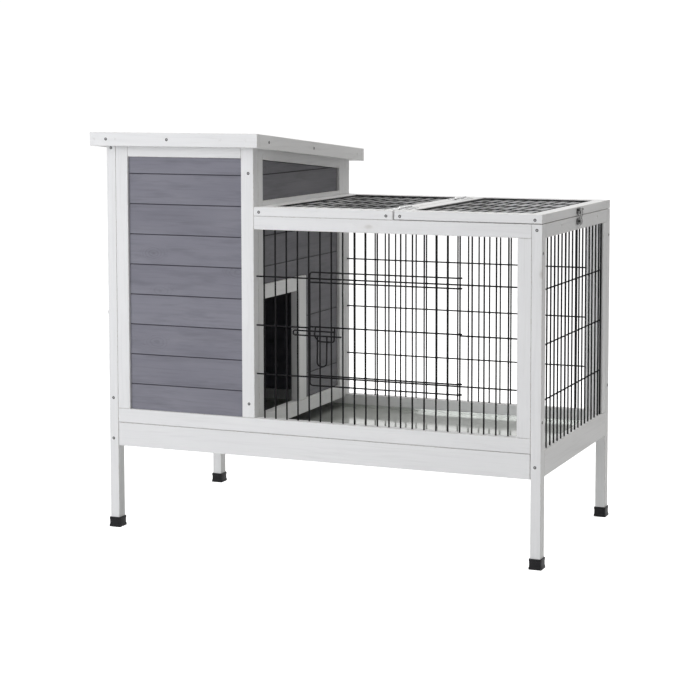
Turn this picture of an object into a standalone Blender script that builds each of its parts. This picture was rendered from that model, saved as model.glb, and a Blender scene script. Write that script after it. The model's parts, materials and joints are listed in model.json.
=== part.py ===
"""Rabbit hutch: a plank house beside a low wire run, on four legs, over one pull-out tray.

Built in metres, +Z up. X runs along the front from the house to the run, and Y runs from
the front to the back. Everything is laid out from the front left leg's outer corner, and
the last function moves it all so that the origin is under the middle of the hutch.
"""
import math

import bmesh
import bpy
import numpy as np
from mathutils import Matrix, Vector

# Overall frame, leg face to leg face
FRAME_LENGTH = 0.895
FRAME_DEPTH = 0.464
HOUSE_LENGTH = 0.3206
GAP = 0.0003

# Timber
STOCK = 0.018
BAR = 0.0265
CHAMFER = 0.0008
LEG_X = 0.020
LEG_Y = 0.0225

# Heights above the floor
TRAY_BOARD_BOTTOM = 0.165
TRAY_BOARD_TOP = 0.212
FRONT_RAIL_TOP = 0.240
BASE_BOTTOM = 0.168
BASE_TOP = 0.217
RUN_TOP = 0.6297
LID_THICKNESS = 0.0175
MIDDLE_RAIL_RISE = 0.009

# Roof: one slope, falling to the back
ROOF_FRONT_Z = 0.7875
ROOF_FALL = 0.0855
ROOF_FRONT_OVERHANG = 0.0294
ROOF_BACK_OVERHANG = 0.0271
ROOF_SIDE_OVERHANG = 0.0201
ROOF_RIGHT_OVERHANG = 0.0228
ROOF_BOARD = 0.012
FASCIA_HEIGHT = 0.0266
FASCIA_THICKNESS = 0.012
HOUSE_RAIL_HEIGHT = 0.0335
SIDE_RAIL_HEIGHT = 0.0445
PARTITION_FRONT_STILE = 0.0212
PARTITION_BACK_STILE = 0.0305
RUN_RAIL_HEIGHT = 0.0255
LID_CLEARANCE = 0.001
SIDE_DOOR_CLEARANCE = 0.001

# Tongue and groove planks
PLANK = 0.009
PLANK_SETBACK = 0.005
PLANK_PITCH = 0.0594
TOP_SEAM_Z = 0.7062
GROOVE_WIDTH = 0.0022
GROOVE_DEPTH = 0.0015
SEAM_MARGIN_LOW = 0.006
SEAM_MARGIN_HIGH = 0.002

# Doorway between the house and the run
DOORWAY_BACK_Y = 0.2055
DOORWAY_TOP_Z = 0.466
DOORWAY_BAR = 0.0275
JAMB_WIDTH = 0.035

# Feet
FOOT_WALL = 0.0024
FOOT_FLOOR = 0.004
FOOT_HEIGHT = 0.020

# Tray
TRAY_BOARD_DEPTH = 0.015
TRAY_BOARD_CLEARANCE = 0.0004
TRAY_FLOOR_Z = 0.190
TRAY_SHEET = 0.0012
TRAY_RIM = 0.006
TRAY_RUN_CLEARANCE = 0.0015
RUNNER_WIDTH = 0.014

# Wire mesh
WIRE = 0.002
MESH_PITCH = 0.02339
MESH_SETBACK = 0.0095
MESH_MARGIN = 0.004
TOP_MESH_MARGIN = 0.003
TOP_MESH_FIRST = 0.010
TOP_MESH_SETBACK = 0.0025
SIDE_MESH_SETBACK = 0.0045
FRONT_MESH_FIRST_X = 0.3378
FRONT_ROW_Z = 0.3252
FRONT_ROW_PITCH = 0.0941
REAR_ROW_Z = 0.3060
REAR_ROW_PITCH = 0.1013
SIDE_MESH_FIRST_Y = 0.0456
SIDE_MESH_LAST_MARGIN = 0.0015
TOP_ROW_Y = 0.055
TOP_ROW_PITCH = 0.094

# Wire door in the front mesh
DOOR_FIRST_WIRE = 4
DOOR_HINGE_WIRE_FROM_RIGHT = 5
DOOR_LEFT_SHIFT = 0.0015
DOOR_BOTTOM_LAP = 0.0150
DOOR_TOP_LAP = 0.01275
DOOR_ROW_SHIFTS = (0.0045, 0.0030, -0.0065)
DOOR_WIRE_GAP = 0.0006
BOLT_TIP_OVERLAP = 0.0305
BOLT_LENGTH = 0.100
BOLT_DROP = 0.0075
BOLT_SPACING = 0.0085
BOLT_LOOP_START = 0.047
BOLT_LOOP_END = 0.013
BOLT_LOOP_DROP = 0.010
BOLT_GRIP_INSET = 0.006
BOLT_GRIP_WIDTH = 0.017
BOLT_GRIP_DEPTH = 0.058

# Butt hinges
HINGE_HEIGHT = 0.060
HINGE_LEAF = 0.0185
HINGE_SHEET = 0.0012
HINGE_KNUCKLE_RADIUS = 0.0026
HINGE_PIN_RADIUS = 0.0011
HINGE_PIN_CLEARANCE = 0.0003
HINGE_NOTCH = 0.006
HINGE_NOTCH_HALF = 0.003
HINGE_WEB_INSET = 0.0012
ROUND_SIDES = 12
LID_HINGE_FRONT_INSET = 0.060
LID_HINGE_BACK_INSET = 0.096
SIDE_HINGE_LOW_INSET = 0.083
SIDE_HINGE_HIGH_INSET = 0.080
SIDE_HINGE_SET = 0.0005

# Hasp on the lid's free edge, and the hook on the side door
HASP_WIDTH = 0.028
HASP_PLATE_HEIGHT = 0.012
HASP_SHEET = 0.0014
HASP_PLATE_RISE = 0.003
HASP_CATCH_DROP = 0.004
HASP_BARREL_RADIUS = 0.0026
HASP_BARREL_INSET = 0.002
HASP_STRAP_WIDTH = 0.010
HASP_STRAP_LENGTH = 0.031
HASP_STRAP_OFFSET = 0.0002
HASP_KNOB_RADIUS = 0.003
HASP_KNOB_RISE = 0.0016
HOOK_RISE = 0.213
HOOK_LENGTH = 0.034
HOOK_WIRE_RADIUS = 0.0016
HOOK_RING_RADIUS = 0.004
EYE_RADIUS = 0.007
EYE_SHEET = 0.0015
EYE_STUD_RADIUS = 0.0022
EYE_STUD_LENGTH = 0.007

COLOURS = {
    "white_paint": ((0.74, 0.74, 0.76), 0.55, 0.0),
    "grey_paint": ((0.19, 0.19, 0.22), 0.65, 0.0),
    "black_wire": ((0.015, 0.015, 0.015), 0.35, 0.6),
    "black_plastic": ((0.02, 0.02, 0.02), 0.5, 0.0),
    "tray_metal": ((0.38, 0.39, 0.36), 0.25, 0.7),
    "roof_felt": ((0.20, 0.20, 0.21), 0.9, 0.0),
    "zinc": ((0.45, 0.44, 0.42), 0.35, 1.0),
}

# Sizes that follow from the values above
RUN_LEFT = HOUSE_LENGTH + GAP
COLUMN_LEFT = HOUSE_LENGTH - BAR
RIGHT_INNER = FRAME_LENGTH - LEG_X
BACK_INNER = FRAME_DEPTH - LEG_Y
LID_BOTTOM = RUN_TOP + GAP
LID_TOP = LID_BOTTOM + LID_THICKNESS
TOP_SPLIT_X = (HOUSE_LENGTH + FRAME_LENGTH) / 2
RUN_RAIL_BOTTOM = RUN_TOP - RUN_RAIL_HEIGHT
HOOK_HEIGHT_Z = BASE_TOP + HOOK_RISE
FRONT_MESH_Y = MESH_SETBACK
BACK_MESH_Y = FRAME_DEPTH - MESH_SETBACK
SIDE_MESH_X = FRAME_LENGTH - SIDE_MESH_SETBACK
TOP_MESH_Z = LID_TOP - TOP_MESH_SETBACK
SLOPE_ANGLE = math.atan(ROOF_FALL)


def clear_scene():
    for old in list(bpy.data.objects):
        bpy.data.objects.remove(old)


def material(name):
    made = bpy.data.materials.get(name)
    if made is None:
        colour, roughness, metallic = COLOURS[name]
        made = bpy.data.materials.new(name)
        made.use_nodes = True
        shader = made.node_tree.nodes["Principled BSDF"]
        shader.inputs["Base Color"].default_value = (*colour, 1.0)
        shader.inputs["Roughness"].default_value = roughness
        shader.inputs["Metallic"].default_value = metallic
    return made


def own_material(obj, finish):
    """Each part has its own copy of a finish."""
    copy = material(finish).copy()
    copy.name = obj.name
    obj.data.materials.append(copy)


def add_object(name, bm, finish, chamfer=0.0):
    bmesh.ops.recalc_face_normals(bm, faces=bm.faces)
    if chamfer:
        weight = bm.edges.layers.float.new("bevel_weight_edge")
        for edge in bm.edges:
            edge[weight] = float(edge.is_convex and edge.calc_face_angle() > 0.2)
    mesh = bpy.data.meshes.new(name)
    bm.to_mesh(mesh)
    bm.free()
    obj = bpy.data.objects.new(name, mesh)
    bpy.context.collection.objects.link(obj)
    if finish is None:
        obj.hide_render = True
        obj.display_type = "WIRE"
    else:
        own_material(obj, finish)
    if chamfer:
        bevel = obj.modifiers.new("edges", "BEVEL")
        bevel.width = chamfer
        bevel.segments = 1
        bevel.limit_method = "WEIGHT"
    return obj


def roof_underside(y):
    """Height of the roof board's lower face over a point y behind the front face."""
    return ROOF_FRONT_Z - ROOF_FALL * (y + ROOF_FRONT_OVERHANG) - ROOF_BOARD / math.cos(SLOPE_ANGLE)


SIDE_DOOR_TOP = roof_underside(BACK_INNER) - SIDE_RAIL_HEIGHT


def add_box(bm, low, high):
    corners = [bm.verts.new((x, y, z)) for x in (low[0], high[0])
               for y in (low[1], high[1]) for z in (low[2], high[2])]
    for loop in ((0, 1, 3, 2), (4, 6, 7, 5), (0, 4, 5, 1), (2, 3, 7, 6), (0, 2, 6, 4), (1, 5, 7, 3)):
        bm.faces.new([corners[i] for i in loop])
    return corners


def board(name, low, high, finish="white_paint", chamfer=CHAMFER):
    bm = bmesh.new()
    add_box(bm, low, high)
    return add_object(name, bm, finish, chamfer)


def roofed_board(name, low, high):
    """A board whose top is cut to the roof's slope; high gives only its x and y."""
    bm = bmesh.new()
    corners = add_box(bm, low, (high[0], high[1], low[2] + STOCK))
    for vert in corners:
        if vert.co.z > low[2] + STOCK / 2:
            vert.co.z = roof_underside(vert.co.y) - GAP
    return add_object(name, bm, "white_paint", CHAMFER)


def frame_outline(bm, outer, inner, low, high, axis):
    """A rectangular ring, extruded from low to high along the given axis."""
    def point(a, b, depth):
        return ((depth, a, b), (a, depth, b), (a, b, depth))[axis]
    rings = []
    for (a0, b0), (a1, b1) in (outer, inner):
        for depth in (low, high):
            rings.append([bm.verts.new(point(a, b, depth)) for a, b in
                          ((a0, b0), (a1, b0), (a1, b1), (a0, b1))])
    outer_low, outer_high, inner_low, inner_high = rings
    for i in range(4):
        j = (i + 1) % 4
        bm.faces.new((outer_low[i], outer_low[j], outer_high[j], outer_high[i]))
        bm.faces.new((inner_low[i], inner_high[i], inner_high[j], inner_low[j]))
        bm.faces.new((outer_low[i], inner_low[i], inner_low[j], outer_low[j]))
        bm.faces.new((outer_high[i], outer_high[j], inner_high[j], inner_high[i]))


def ring_frame(name, outer, inner, low, high, axis):
    bm = bmesh.new()
    frame_outline(bm, outer, inner, low, high, axis)
    return add_object(name, bm, "white_paint", CHAMFER)


def cut(obj, cutter, operation="DIFFERENCE"):
    step = obj.modifiers.new("cut", "BOOLEAN")
    step.operation = operation
    step.solver = "EXACT"
    step.object = cutter


def join_ends(bm, ends):
    """A solid between two matching outlines, each a list of points."""
    first, last = [[bm.verts.new(point) for point in end] for end in ends]
    for i in range(len(first)):
        j = (i + 1) % len(first)
        bm.faces.new((first[i], first[j], last[j], last[i]))
    bm.faces.new(first)
    bm.faces.new(last)


def stack_rings(bm, rings):
    """A solid from rings of points joined in order and closed at both ends."""
    rings = [[bm.verts.new(point) for point in ring] for ring in rings]
    for lower, upper in zip(rings, rings[1:]):
        for i in range(len(lower)):
            j = (i + 1) % len(lower)
            bm.faces.new((lower[i], lower[j], upper[j], upper[i]))
    bm.faces.new(rings[0])
    bm.faces.new(rings[-1])


def rectangle(low, high, z):
    return [(low[0], low[1], z), (high[0], low[1], z), (high[0], high[1], z), (low[0], high[1], z)]


def steps(first, pitch, low, high):
    """Values first + n * pitch that lie between low and high."""
    start = math.ceil((low - first) / pitch)
    stop = math.floor((high - first) / pitch)
    return [first + pitch * n for n in range(start, stop + 1)]


def plank_seams(low, high):
    """Heights of the seams that lie well inside a panel."""
    return steps(TOP_SEAM_Z, PLANK_PITCH, low + SEAM_MARGIN_LOW, high - SEAM_MARGIN_HIGH)


def plank_profile(low, high):
    """Depth and height of the outer face, with a V groove at each seam."""
    points = [(0.0, low)]
    for z in plank_seams(low, high):
        points += [(0.0, z - GROOVE_WIDTH / 2), (GROOVE_DEPTH, z), (0.0, z + GROOVE_WIDTH / 2)]
    return points + [(0.0, high)]


def plank_panel(name, start, end, low, high, place):
    """Joined planks between start and end; place(along, depth, z) gives a point in space."""
    outline = plank_profile(low, high)
    outline += [(PLANK, high), (PLANK, low)]
    bm = bmesh.new()
    join_ends(bm, [[place(along, depth, z) for depth, z in outline] for along in (start, end)])
    return add_object(name, bm, "grey_paint")


def roof_cutter(name, drop):
    """A tilted block that trims a panel to the roof's slope, a little below it."""
    bm = bmesh.new()
    corners = add_box(bm, (-0.1, -0.1, 0.0), (0.5, FRAME_DEPTH + 0.1, 1.2))
    for vert in corners:
        if vert.co.z < 0.6:
            vert.co.z = roof_underside(vert.co.y) - drop
    return add_object(name, bm, None)


def wire_lattice(bars, place):
    """One flat solid from crossing bars. Each bar is (low a, high a, low b, high b)."""
    cuts_a = sorted({round(v, 7) for bar in bars for v in bar[:2]})
    cuts_b = sorted({round(v, 7) for bar in bars for v in bar[2:]})
    filled = np.zeros((len(cuts_a) + 1, len(cuts_b) + 1), dtype=bool)
    for a0, a1, b0, b1 in bars:
        columns = slice(cuts_a.index(round(a0, 7)), cuts_a.index(round(a1, 7)))
        rows = slice(cuts_b.index(round(b0, 7)), cuts_b.index(round(b1, 7)))
        filled[columns, rows] = True
    bm = bmesh.new()
    verts = {}

    def vert(i, j, side):
        key = (i, j, side)
        if key not in verts:
            depth = (side - 0.5) * WIRE
            verts[key] = bm.verts.new(place(cuts_a[i], cuts_b[j], depth))
        return verts[key]

    for i, j in zip(*np.nonzero(filled)):
        for side in (0, 1):
            square = ((i, j), (i + 1, j), (i + 1, j + 1), (i, j + 1))
            bm.faces.new([vert(*corner, side) for corner in square])
        edges = (((i - 1, j), (i, j), (i, j + 1)), ((i + 1, j), (i + 1, j), (i + 1, j + 1)),
                 ((i, j - 1), (i, j), (i + 1, j)), ((i, j + 1), (i, j + 1), (i + 1, j + 1)))
        for neighbour, first, last in edges:
            if not filled[neighbour]:
                bm.faces.new((vert(*first, 0), vert(*last, 0), vert(*last, 1), vert(*first, 1)))
    return bm


def crossing_bars(columns, rows, low_a, high_a, low_b, high_b):
    half = WIRE / 2
    bars = [(a - half, a + half, low_b, high_b) for a in columns]
    return bars + [(low_a, high_a, b - half, b + half) for b in rows]


def legs_and_feet():
    corners = {"front_left": (0, 0), "front_right": (1, 0), "back_left": (0, 1), "back_right": (1, 1)}
    for corner, (right, back) in corners.items():
        x = RIGHT_INNER if right else 0.0
        y = BACK_INNER if back else 0.0
        low = (x, y, FOOT_FLOOR + GAP)
        if right:
            board(f"{corner}_leg", low, (x + LEG_X, y + LEG_Y, RUN_TOP))
        else:
            roofed_board(f"{corner}_leg", low, (x + LEG_X, y + LEG_Y))
        foot(f"{corner}_foot", x, y)


def foot(name, x, y):
    """A plastic cap: a block with a square socket that the leg stands in."""
    bm = bmesh.new()
    socket_low = (x - GAP, y - GAP)
    socket_high = (x + LEG_X + GAP, y + LEG_Y + GAP)
    outer_low = [v - FOOT_WALL for v in socket_low]
    outer_high = [v + FOOT_WALL for v in socket_high]
    stack_rings(bm, [rectangle(outer_low, outer_high, 0.0), rectangle(outer_low, outer_high, FOOT_HEIGHT),
                     rectangle(socket_low, socket_high, FOOT_HEIGHT),
                     rectangle(socket_low, socket_high, FOOT_FLOOR)])
    add_object(name, bm, "black_plastic", CHAMFER)


def base_rails():
    left = LEG_X + GAP
    right = RIGHT_INNER - GAP
    board("front_base_rail", (left, 0.0, TRAY_BOARD_TOP + GAP), (right, STOCK, FRONT_RAIL_TOP))
    board("back_base_rail", (left, FRAME_DEPTH - STOCK, BASE_BOTTOM), (right, FRAME_DEPTH, BASE_TOP))
    side_rail("left_base_rail", 0.0, 1)
    side_rail("right_base_rail", FRAME_LENGTH, -1)


def side_rail(name, outer, inward):
    """An L-shaped rail: the upright board and the ledge that the tray slides on."""
    inner = outer + inward * STOCK
    ledge = inner + inward * RUNNER_WIDTH
    ledge_top = TRAY_FLOOR_Z - TRAY_SHEET - GAP
    outline = ((outer, BASE_BOTTOM), (ledge, BASE_BOTTOM), (ledge, ledge_top),
               (inner, ledge_top), (inner, BASE_TOP), (outer, BASE_TOP))
    bm = bmesh.new()
    join_ends(bm, [[(x, y, z) for x, z in outline] for y in (LEG_Y + GAP, BACK_INNER - GAP)])
    add_object(name, bm, "white_paint", CHAMFER)


def tray():
    """A shallow metal pan fixed behind a wooden front board."""
    clearance = TRAY_RUN_CLEARANCE
    left = max(LEG_X, STOCK) + clearance
    right = FRAME_LENGTH - left
    board("tray_front_board", (left - clearance / 2, 0.0, TRAY_BOARD_BOTTOM),
          (right + clearance / 2, TRAY_BOARD_DEPTH, TRAY_BOARD_TOP - TRAY_BOARD_CLEARANCE))
    low = (left, TRAY_BOARD_DEPTH + GAP)
    high = (right, FRAME_DEPTH - STOCK - clearance)
    inner_low = [v + TRAY_SHEET for v in low]
    inner_high = [v - TRAY_SHEET for v in high]
    rim = TRAY_FLOOR_Z + TRAY_RIM
    bm = bmesh.new()
    stack_rings(bm, [rectangle(low, high, TRAY_FLOOR_Z - TRAY_SHEET), rectangle(low, high, rim),
                     rectangle(inner_low, inner_high, rim), rectangle(inner_low, inner_high, TRAY_FLOOR_Z)])
    add_object("tray_pan", bm, "tray_metal")


def front_place(along, depth, z):
    return (along, PLANK_SETBACK + depth, z)


def left_place(along, depth, z):
    return (PLANK_SETBACK + depth, along, z)


def partition_place(along, depth, z):
    return (HOUSE_LENGTH - PLANK_SETBACK - depth, along, z)


def back_place(along, depth, z):
    return (along, FRAME_DEPTH - PLANK_SETBACK - depth, z)


def trimmed_panel(name, start, end, low, place, cutter):
    high = ROOF_FRONT_Z
    panel = plank_panel(name, start, end, low, high, place)
    cut(panel, cutter)
    return panel


def house_walls():
    rail_cutter = roof_cutter("below_house_rails", HOUSE_RAIL_HEIGHT + GAP)
    stile_left = LEG_X + GAP
    stile_right = stile_left + BAR
    column_left = COLUMN_LEFT - GAP
    column_depth = LEG_X
    front_low = FRONT_RAIL_TOP + GAP
    back_low = BASE_TOP + GAP

    roofed_board("front_middle_post", (COLUMN_LEFT, 0.0, front_low), (HOUSE_LENGTH, column_depth))
    roofed_board("back_middle_post", (COLUMN_LEFT, BACK_INNER, back_low), (HOUSE_LENGTH, FRAME_DEPTH))

    roofed_board("house_front_stile", (stile_left, 0.0, front_low), (stile_right, STOCK))
    sloped_rail("house_front_rail", (stile_right + GAP, 0.0), (column_left, STOCK))
    trimmed_panel("house_front_planks", stile_right + GAP, column_left, front_low, front_place, rail_cutter)

    roof_trim = roof_cutter("below_roof", GAP)
    trimmed_panel("house_back_planks", stile_left, column_left, back_low, back_place, roof_trim)

    roofed_board("house_side_rail", (0.0, LEG_Y + GAP, SIDE_DOOR_TOP + 2 * GAP), (STOCK, BACK_INNER - GAP))
    partition(rail_cutter)


def sloped_rail(name, low, high):
    """A rail under the roof, with its top and bottom both cut to the slope."""
    bm = bmesh.new()
    for vert in add_box(bm, (*low, 0.0), (*high, 1.0)):
        under = HOUSE_RAIL_HEIGHT if vert.co.z < 0.5 else GAP
        vert.co.z = roof_underside(vert.co.y) - under
    return add_object(name, bm, "white_paint", CHAMFER)


def partition(rail_cutter):
    """The wall between the house and the run, with a doorway at its front."""
    inner = HOUSE_LENGTH - STOCK
    outer = HOUSE_LENGTH
    bottom = TRAY_BOARD_TOP + GAP
    front_stile = (LEG_X + GAP, LEG_X + GAP + PARTITION_FRONT_STILE)
    back_stile = (BACK_INNER - GAP - PARTITION_BACK_STILE, BACK_INNER - GAP)
    start = front_stile[1] + GAP
    end = back_stile[0] - GAP
    roofed_board("partition_front_stile", (inner, front_stile[0], bottom), (outer, front_stile[1]))
    roofed_board("partition_back_stile", (inner, back_stile[0], bottom), (outer, back_stile[1]))
    bottom_top = FRONT_RAIL_TOP + GAP
    board("partition_bottom_rail", (inner, start, bottom), (outer, end, bottom_top))
    board("partition_middle_rail", (outer - PLANK_SETBACK + GAP, start, RUN_RAIL_BOTTOM),
          (outer, end, LID_TOP + MIDDLE_RAIL_RISE))
    sloped_rail("partition_top_rail", (inner, start), (outer, end))

    header_top = DOORWAY_TOP_Z + DOORWAY_BAR
    jamb_back = DOORWAY_BACK_Y + JAMB_WIDTH
    doorway_frame("doorway_frame", start, bottom_top + GAP, jamb_back, header_top, inner, outer)
    planks = trimmed_panel("partition_planks", start, end, bottom_top + GAP, partition_place, rail_cutter)
    doorway = board("doorway_cutter", (inner - STOCK, start - STOCK, bottom_top - STOCK),
                    (outer + STOCK, jamb_back + GAP, header_top + GAP), None, 0.0)
    cut(planks, doorway)


def doorway_frame(name, start, bottom, jamb_back, header_top, inner, outer):
    outline = ((start, DOORWAY_TOP_Z), (DOORWAY_BACK_Y, DOORWAY_TOP_Z), (DOORWAY_BACK_Y, bottom),
               (jamb_back, bottom), (jamb_back, header_top), (start, header_top))
    bm = bmesh.new()
    join_ends(bm, [[(x, y, z) for y, z in outline] for x in (inner, outer)])
    add_object(name, bm, "white_paint", CHAMFER)


def side_door():
    """The plank door in the house's left wall, hinged on the back leg."""
    low_y = LEG_Y + SIDE_DOOR_CLEARANCE
    high_y = BACK_INNER - SIDE_DOOR_CLEARANCE
    low_z = BASE_TOP + SIDE_DOOR_CLEARANCE
    outer = ((low_y, low_z), (high_y, SIDE_DOOR_TOP))
    inner = ((low_y + BAR, low_z + BAR), (high_y - BAR, SIDE_DOOR_TOP - BAR))
    ring_frame("side_door_frame", outer, inner, 0.0, STOCK, 0)
    plank_panel("side_door_planks", low_y + BAR + GAP, high_y - BAR - GAP,
                low_z + BAR + GAP, SIDE_DOOR_TOP - BAR - GAP, left_place)


def roof():
    """A flat board inside a ring of fascia boards, both tilted to the slope."""
    low_x = -ROOF_SIDE_OVERHANG
    high_x = HOUSE_LENGTH + ROOF_RIGHT_OVERHANG
    front = -ROOF_FRONT_OVERHANG
    back = FRAME_DEPTH + ROOF_BACK_OVERHANG

    def shear(obj):
        for vert in obj.data.vertices:
            vert.co.z += ROOF_FRONT_Z - ROOF_FALL * (vert.co.y - front)

    rise = ROOF_BOARD / math.cos(SLOPE_ANGLE)
    edge = FASCIA_THICKNESS + GAP
    shear(board("roof_board", (low_x + edge, front + edge, -rise), (high_x - edge, back - edge, 0.0),
                "roof_felt"))
    outer = ((low_x, front), (high_x, back))
    inner = ((low_x + FASCIA_THICKNESS, front + FASCIA_THICKNESS),
             (high_x - FASCIA_THICKNESS, back - FASCIA_THICKNESS))
    shear(ring_frame("roof_fascia", outer, inner, -FASCIA_HEIGHT, 0.0, 2))


def run_frame():
    right = RIGHT_INNER - GAP
    stile_left = right - BAR
    stile_top = RUN_RAIL_BOTTOM - GAP
    back_face = FRAME_DEPTH - STOCK
    board("run_front_rail", (RUN_LEFT, 0.0, RUN_RAIL_BOTTOM), (right, STOCK, RUN_TOP))
    board("run_front_stile", (stile_left, 0.0, FRONT_RAIL_TOP + GAP), (right, STOCK, stile_top))
    board("run_back_rail", (RUN_LEFT, back_face, RUN_RAIL_BOTTOM), (right, FRAME_DEPTH, RUN_TOP))
    board("run_back_stile", (stile_left, back_face, BASE_TOP + GAP), (right, FRAME_DEPTH, stile_top))
    side_face = FRAME_LENGTH - STOCK
    board("run_side_rail", (side_face, LEG_Y + GAP, RUN_RAIL_BOTTOM), (FRAME_LENGTH, BACK_INNER - GAP, RUN_TOP))
    back_stile = BACK_INNER - GAP - BAR
    board("run_side_stile", (side_face, back_stile, BASE_TOP + GAP),
          (FRAME_LENGTH, BACK_INNER - GAP, stile_top))


def run_meshes():
    stile_left = RIGHT_INNER - GAP - BAR
    front_low = FRONT_RAIL_TOP + GAP
    high = RUN_RAIL_BOTTOM - GAP
    limits = (RUN_LEFT + MESH_MARGIN, stile_left - MESH_MARGIN)
    columns = steps(FRONT_MESH_FIRST_X, MESH_PITCH, *limits)
    hinge_wire = len(columns) - DOOR_HINGE_WIRE_FROM_RIGHT
    front_rows = steps(FRONT_ROW_Z, FRONT_ROW_PITCH, front_low + WIRE, high - WIRE)
    bars = []
    half = WIRE / 2
    for number, x in enumerate(columns):
        spans = [(front_low, high)]
        if DOOR_FIRST_WIRE < number < hinge_wire:
            spans = [(front_low, front_rows[0] + half), (front_rows[-1] - half, high)]
        bars += [(x - half, x + half, z0, z1) for z0, z1 in spans]
    for number, z in enumerate(front_rows):
        spans = [(RUN_LEFT + GAP, stile_left - GAP)]
        if 0 < number < len(front_rows) - 1:
            spans = [(RUN_LEFT + GAP, columns[DOOR_FIRST_WIRE] + half),
                     (columns[hinge_wire] - half, stile_left - GAP)]
        bars += [(x0, x1, z - half, z + half) for x0, x1 in spans]
    add_object("run_front_mesh", wire_lattice(bars, lambda x, z, d: (x, FRONT_MESH_Y + d, z)), "black_wire")

    back_low = BASE_TOP + GAP
    rows = steps(REAR_ROW_Z, REAR_ROW_PITCH, back_low + WIRE, high - WIRE)
    back_columns = steps(FRONT_MESH_FIRST_X, MESH_PITCH, *limits)
    bars = crossing_bars(back_columns, rows, RUN_LEFT + GAP, stile_left - GAP, back_low, high)
    add_object("run_back_mesh", wire_lattice(bars, lambda x, z, d: (x, BACK_MESH_Y + d, z)), "black_wire")

    side_low_y = LEG_Y + GAP
    side_high_y = BACK_INNER - 2 * GAP - BAR
    side_columns = steps(SIDE_MESH_FIRST_Y, MESH_PITCH, side_low_y + MESH_MARGIN,
                         side_high_y - SIDE_MESH_LAST_MARGIN)
    bars = crossing_bars(side_columns, rows, side_low_y, side_high_y, back_low, high)
    add_object("run_side_mesh", wire_lattice(bars, lambda y, z, d: (SIDE_MESH_X + d, y, z)), "black_wire")
    return columns[:hinge_wire + 1], front_rows


def top_panels():
    """The fixed panel by the house, and the lid beside it."""
    split_low = TOP_SPLIT_X - LID_CLEARANCE / 2
    split_high = TOP_SPLIT_X + LID_CLEARANCE / 2
    for name, mesh_name, low_x, high_x in (("fixed_top_frame", "fixed_top_mesh", RUN_LEFT, split_low),
                                           ("lid_frame", "lid_mesh", split_high, FRAME_LENGTH)):
        outer = ((low_x, 0.0), (high_x, FRAME_DEPTH))
        inner = ((low_x + BAR, BAR), (high_x - BAR, FRAME_DEPTH - BAR))
        ring_frame(name, outer, inner, LID_BOTTOM, LID_TOP, 2)
        (mesh_low, mesh_front), (mesh_high, mesh_back) = inner
        columns = steps(mesh_low + TOP_MESH_FIRST, MESH_PITCH, mesh_low, mesh_high - TOP_MESH_MARGIN)
        rows = steps(TOP_ROW_Y, TOP_ROW_PITCH, mesh_front + TOP_MESH_MARGIN, mesh_back - TOP_MESH_MARGIN)
        bars = crossing_bars(columns, rows, mesh_low + GAP, mesh_high - GAP, mesh_front + GAP, mesh_back - GAP)
        add_object(mesh_name, wire_lattice(bars, lambda x, y, d: (x, y, TOP_MESH_Z + d)), "black_wire")


def wire_door(columns, rows):
    """A wire door in front of the mesh, turning on one of the mesh's own wires."""
    half = WIRE / 2
    door_y = FRONT_MESH_Y - WIRE - DOOR_WIRE_GAP
    left = columns[DOOR_FIRST_WIRE] + DOOR_LEFT_SHIFT
    pivot = columns[-1]
    wires = [left] + columns[DOOR_FIRST_WIRE + 1:-1]
    low = rows[0] - DOOR_BOTTOM_LAP
    high = rows[-1] + DOOR_TOP_LAP
    door_rows = [low, *[row + shift for row, shift in zip(rows, DOOR_ROW_SHIFTS)], high]
    bars = [(x - half, x + half, low - half, high + half) for x in wires]
    bars += [(left - half, pivot + half, z - half, z + half) for z in door_rows]
    bm = wire_lattice(bars, lambda x, z, d: (x - pivot, d + door_y - FRONT_MESH_Y, z))
    door = add_object("wire_door", bm, "black_wire")
    door.location = (pivot, FRONT_MESH_Y, 0.0)
    wire_door_bolt(left, door_y, door_rows[2])


def wire_door_bolt(left, door_y, guide_z):
    """A bent wire that slides along the door's free edge, with a hanging handle."""
    half = WIRE / 2
    bolt_y = door_y - WIRE - DOOR_WIRE_GAP
    tip = left - BOLT_TIP_OVERLAP
    end = tip + BOLT_LENGTH
    upper = guide_z - BOLT_DROP
    lower = upper - BOLT_SPACING
    loop_left = tip + BOLT_LOOP_START
    loop_right = end - BOLT_LOOP_END
    loop_low = lower - BOLT_LOOP_DROP
    grip_left = loop_left + BOLT_GRIP_INSET
    grip_right = grip_left + BOLT_GRIP_WIDTH
    grip_low = lower - BOLT_GRIP_DEPTH
    bars = [(tip - half, tip + half, lower - half, upper + half),
            (tip - half, loop_left + half, upper - half, upper + half),
            (tip - half, end, lower - half, lower + half),
            (loop_left - half, loop_left + half, loop_low - half, upper + half),
            (loop_left - half, loop_right + half, loop_low - half, loop_low + half),
            (loop_right - half, loop_right + half, loop_low - half, upper + half),
            (grip_left - half, grip_left + half, grip_low - half, lower + half),
            (grip_right - half, grip_right + half, grip_low - half, loop_low + half),
            (grip_left - half, grip_right + half, grip_low - half, grip_low + half)]
    bm = wire_lattice(bars, lambda x, z, d: (x, bolt_y + d, z))
    add_object("wire_door_bolt", bm, "black_wire")


def cylinder(name, radius, low, high, finish=None):
    """A cylinder along local Z."""
    bm = bmesh.new()
    bmesh.ops.create_cone(bm, cap_ends=True, segments=ROUND_SIDES, radius1=radius, radius2=radius,
                          depth=high - low, matrix=Matrix.Translation((0, 0, (low + high) / 2)))
    return add_object(name, bm, finish)


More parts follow.
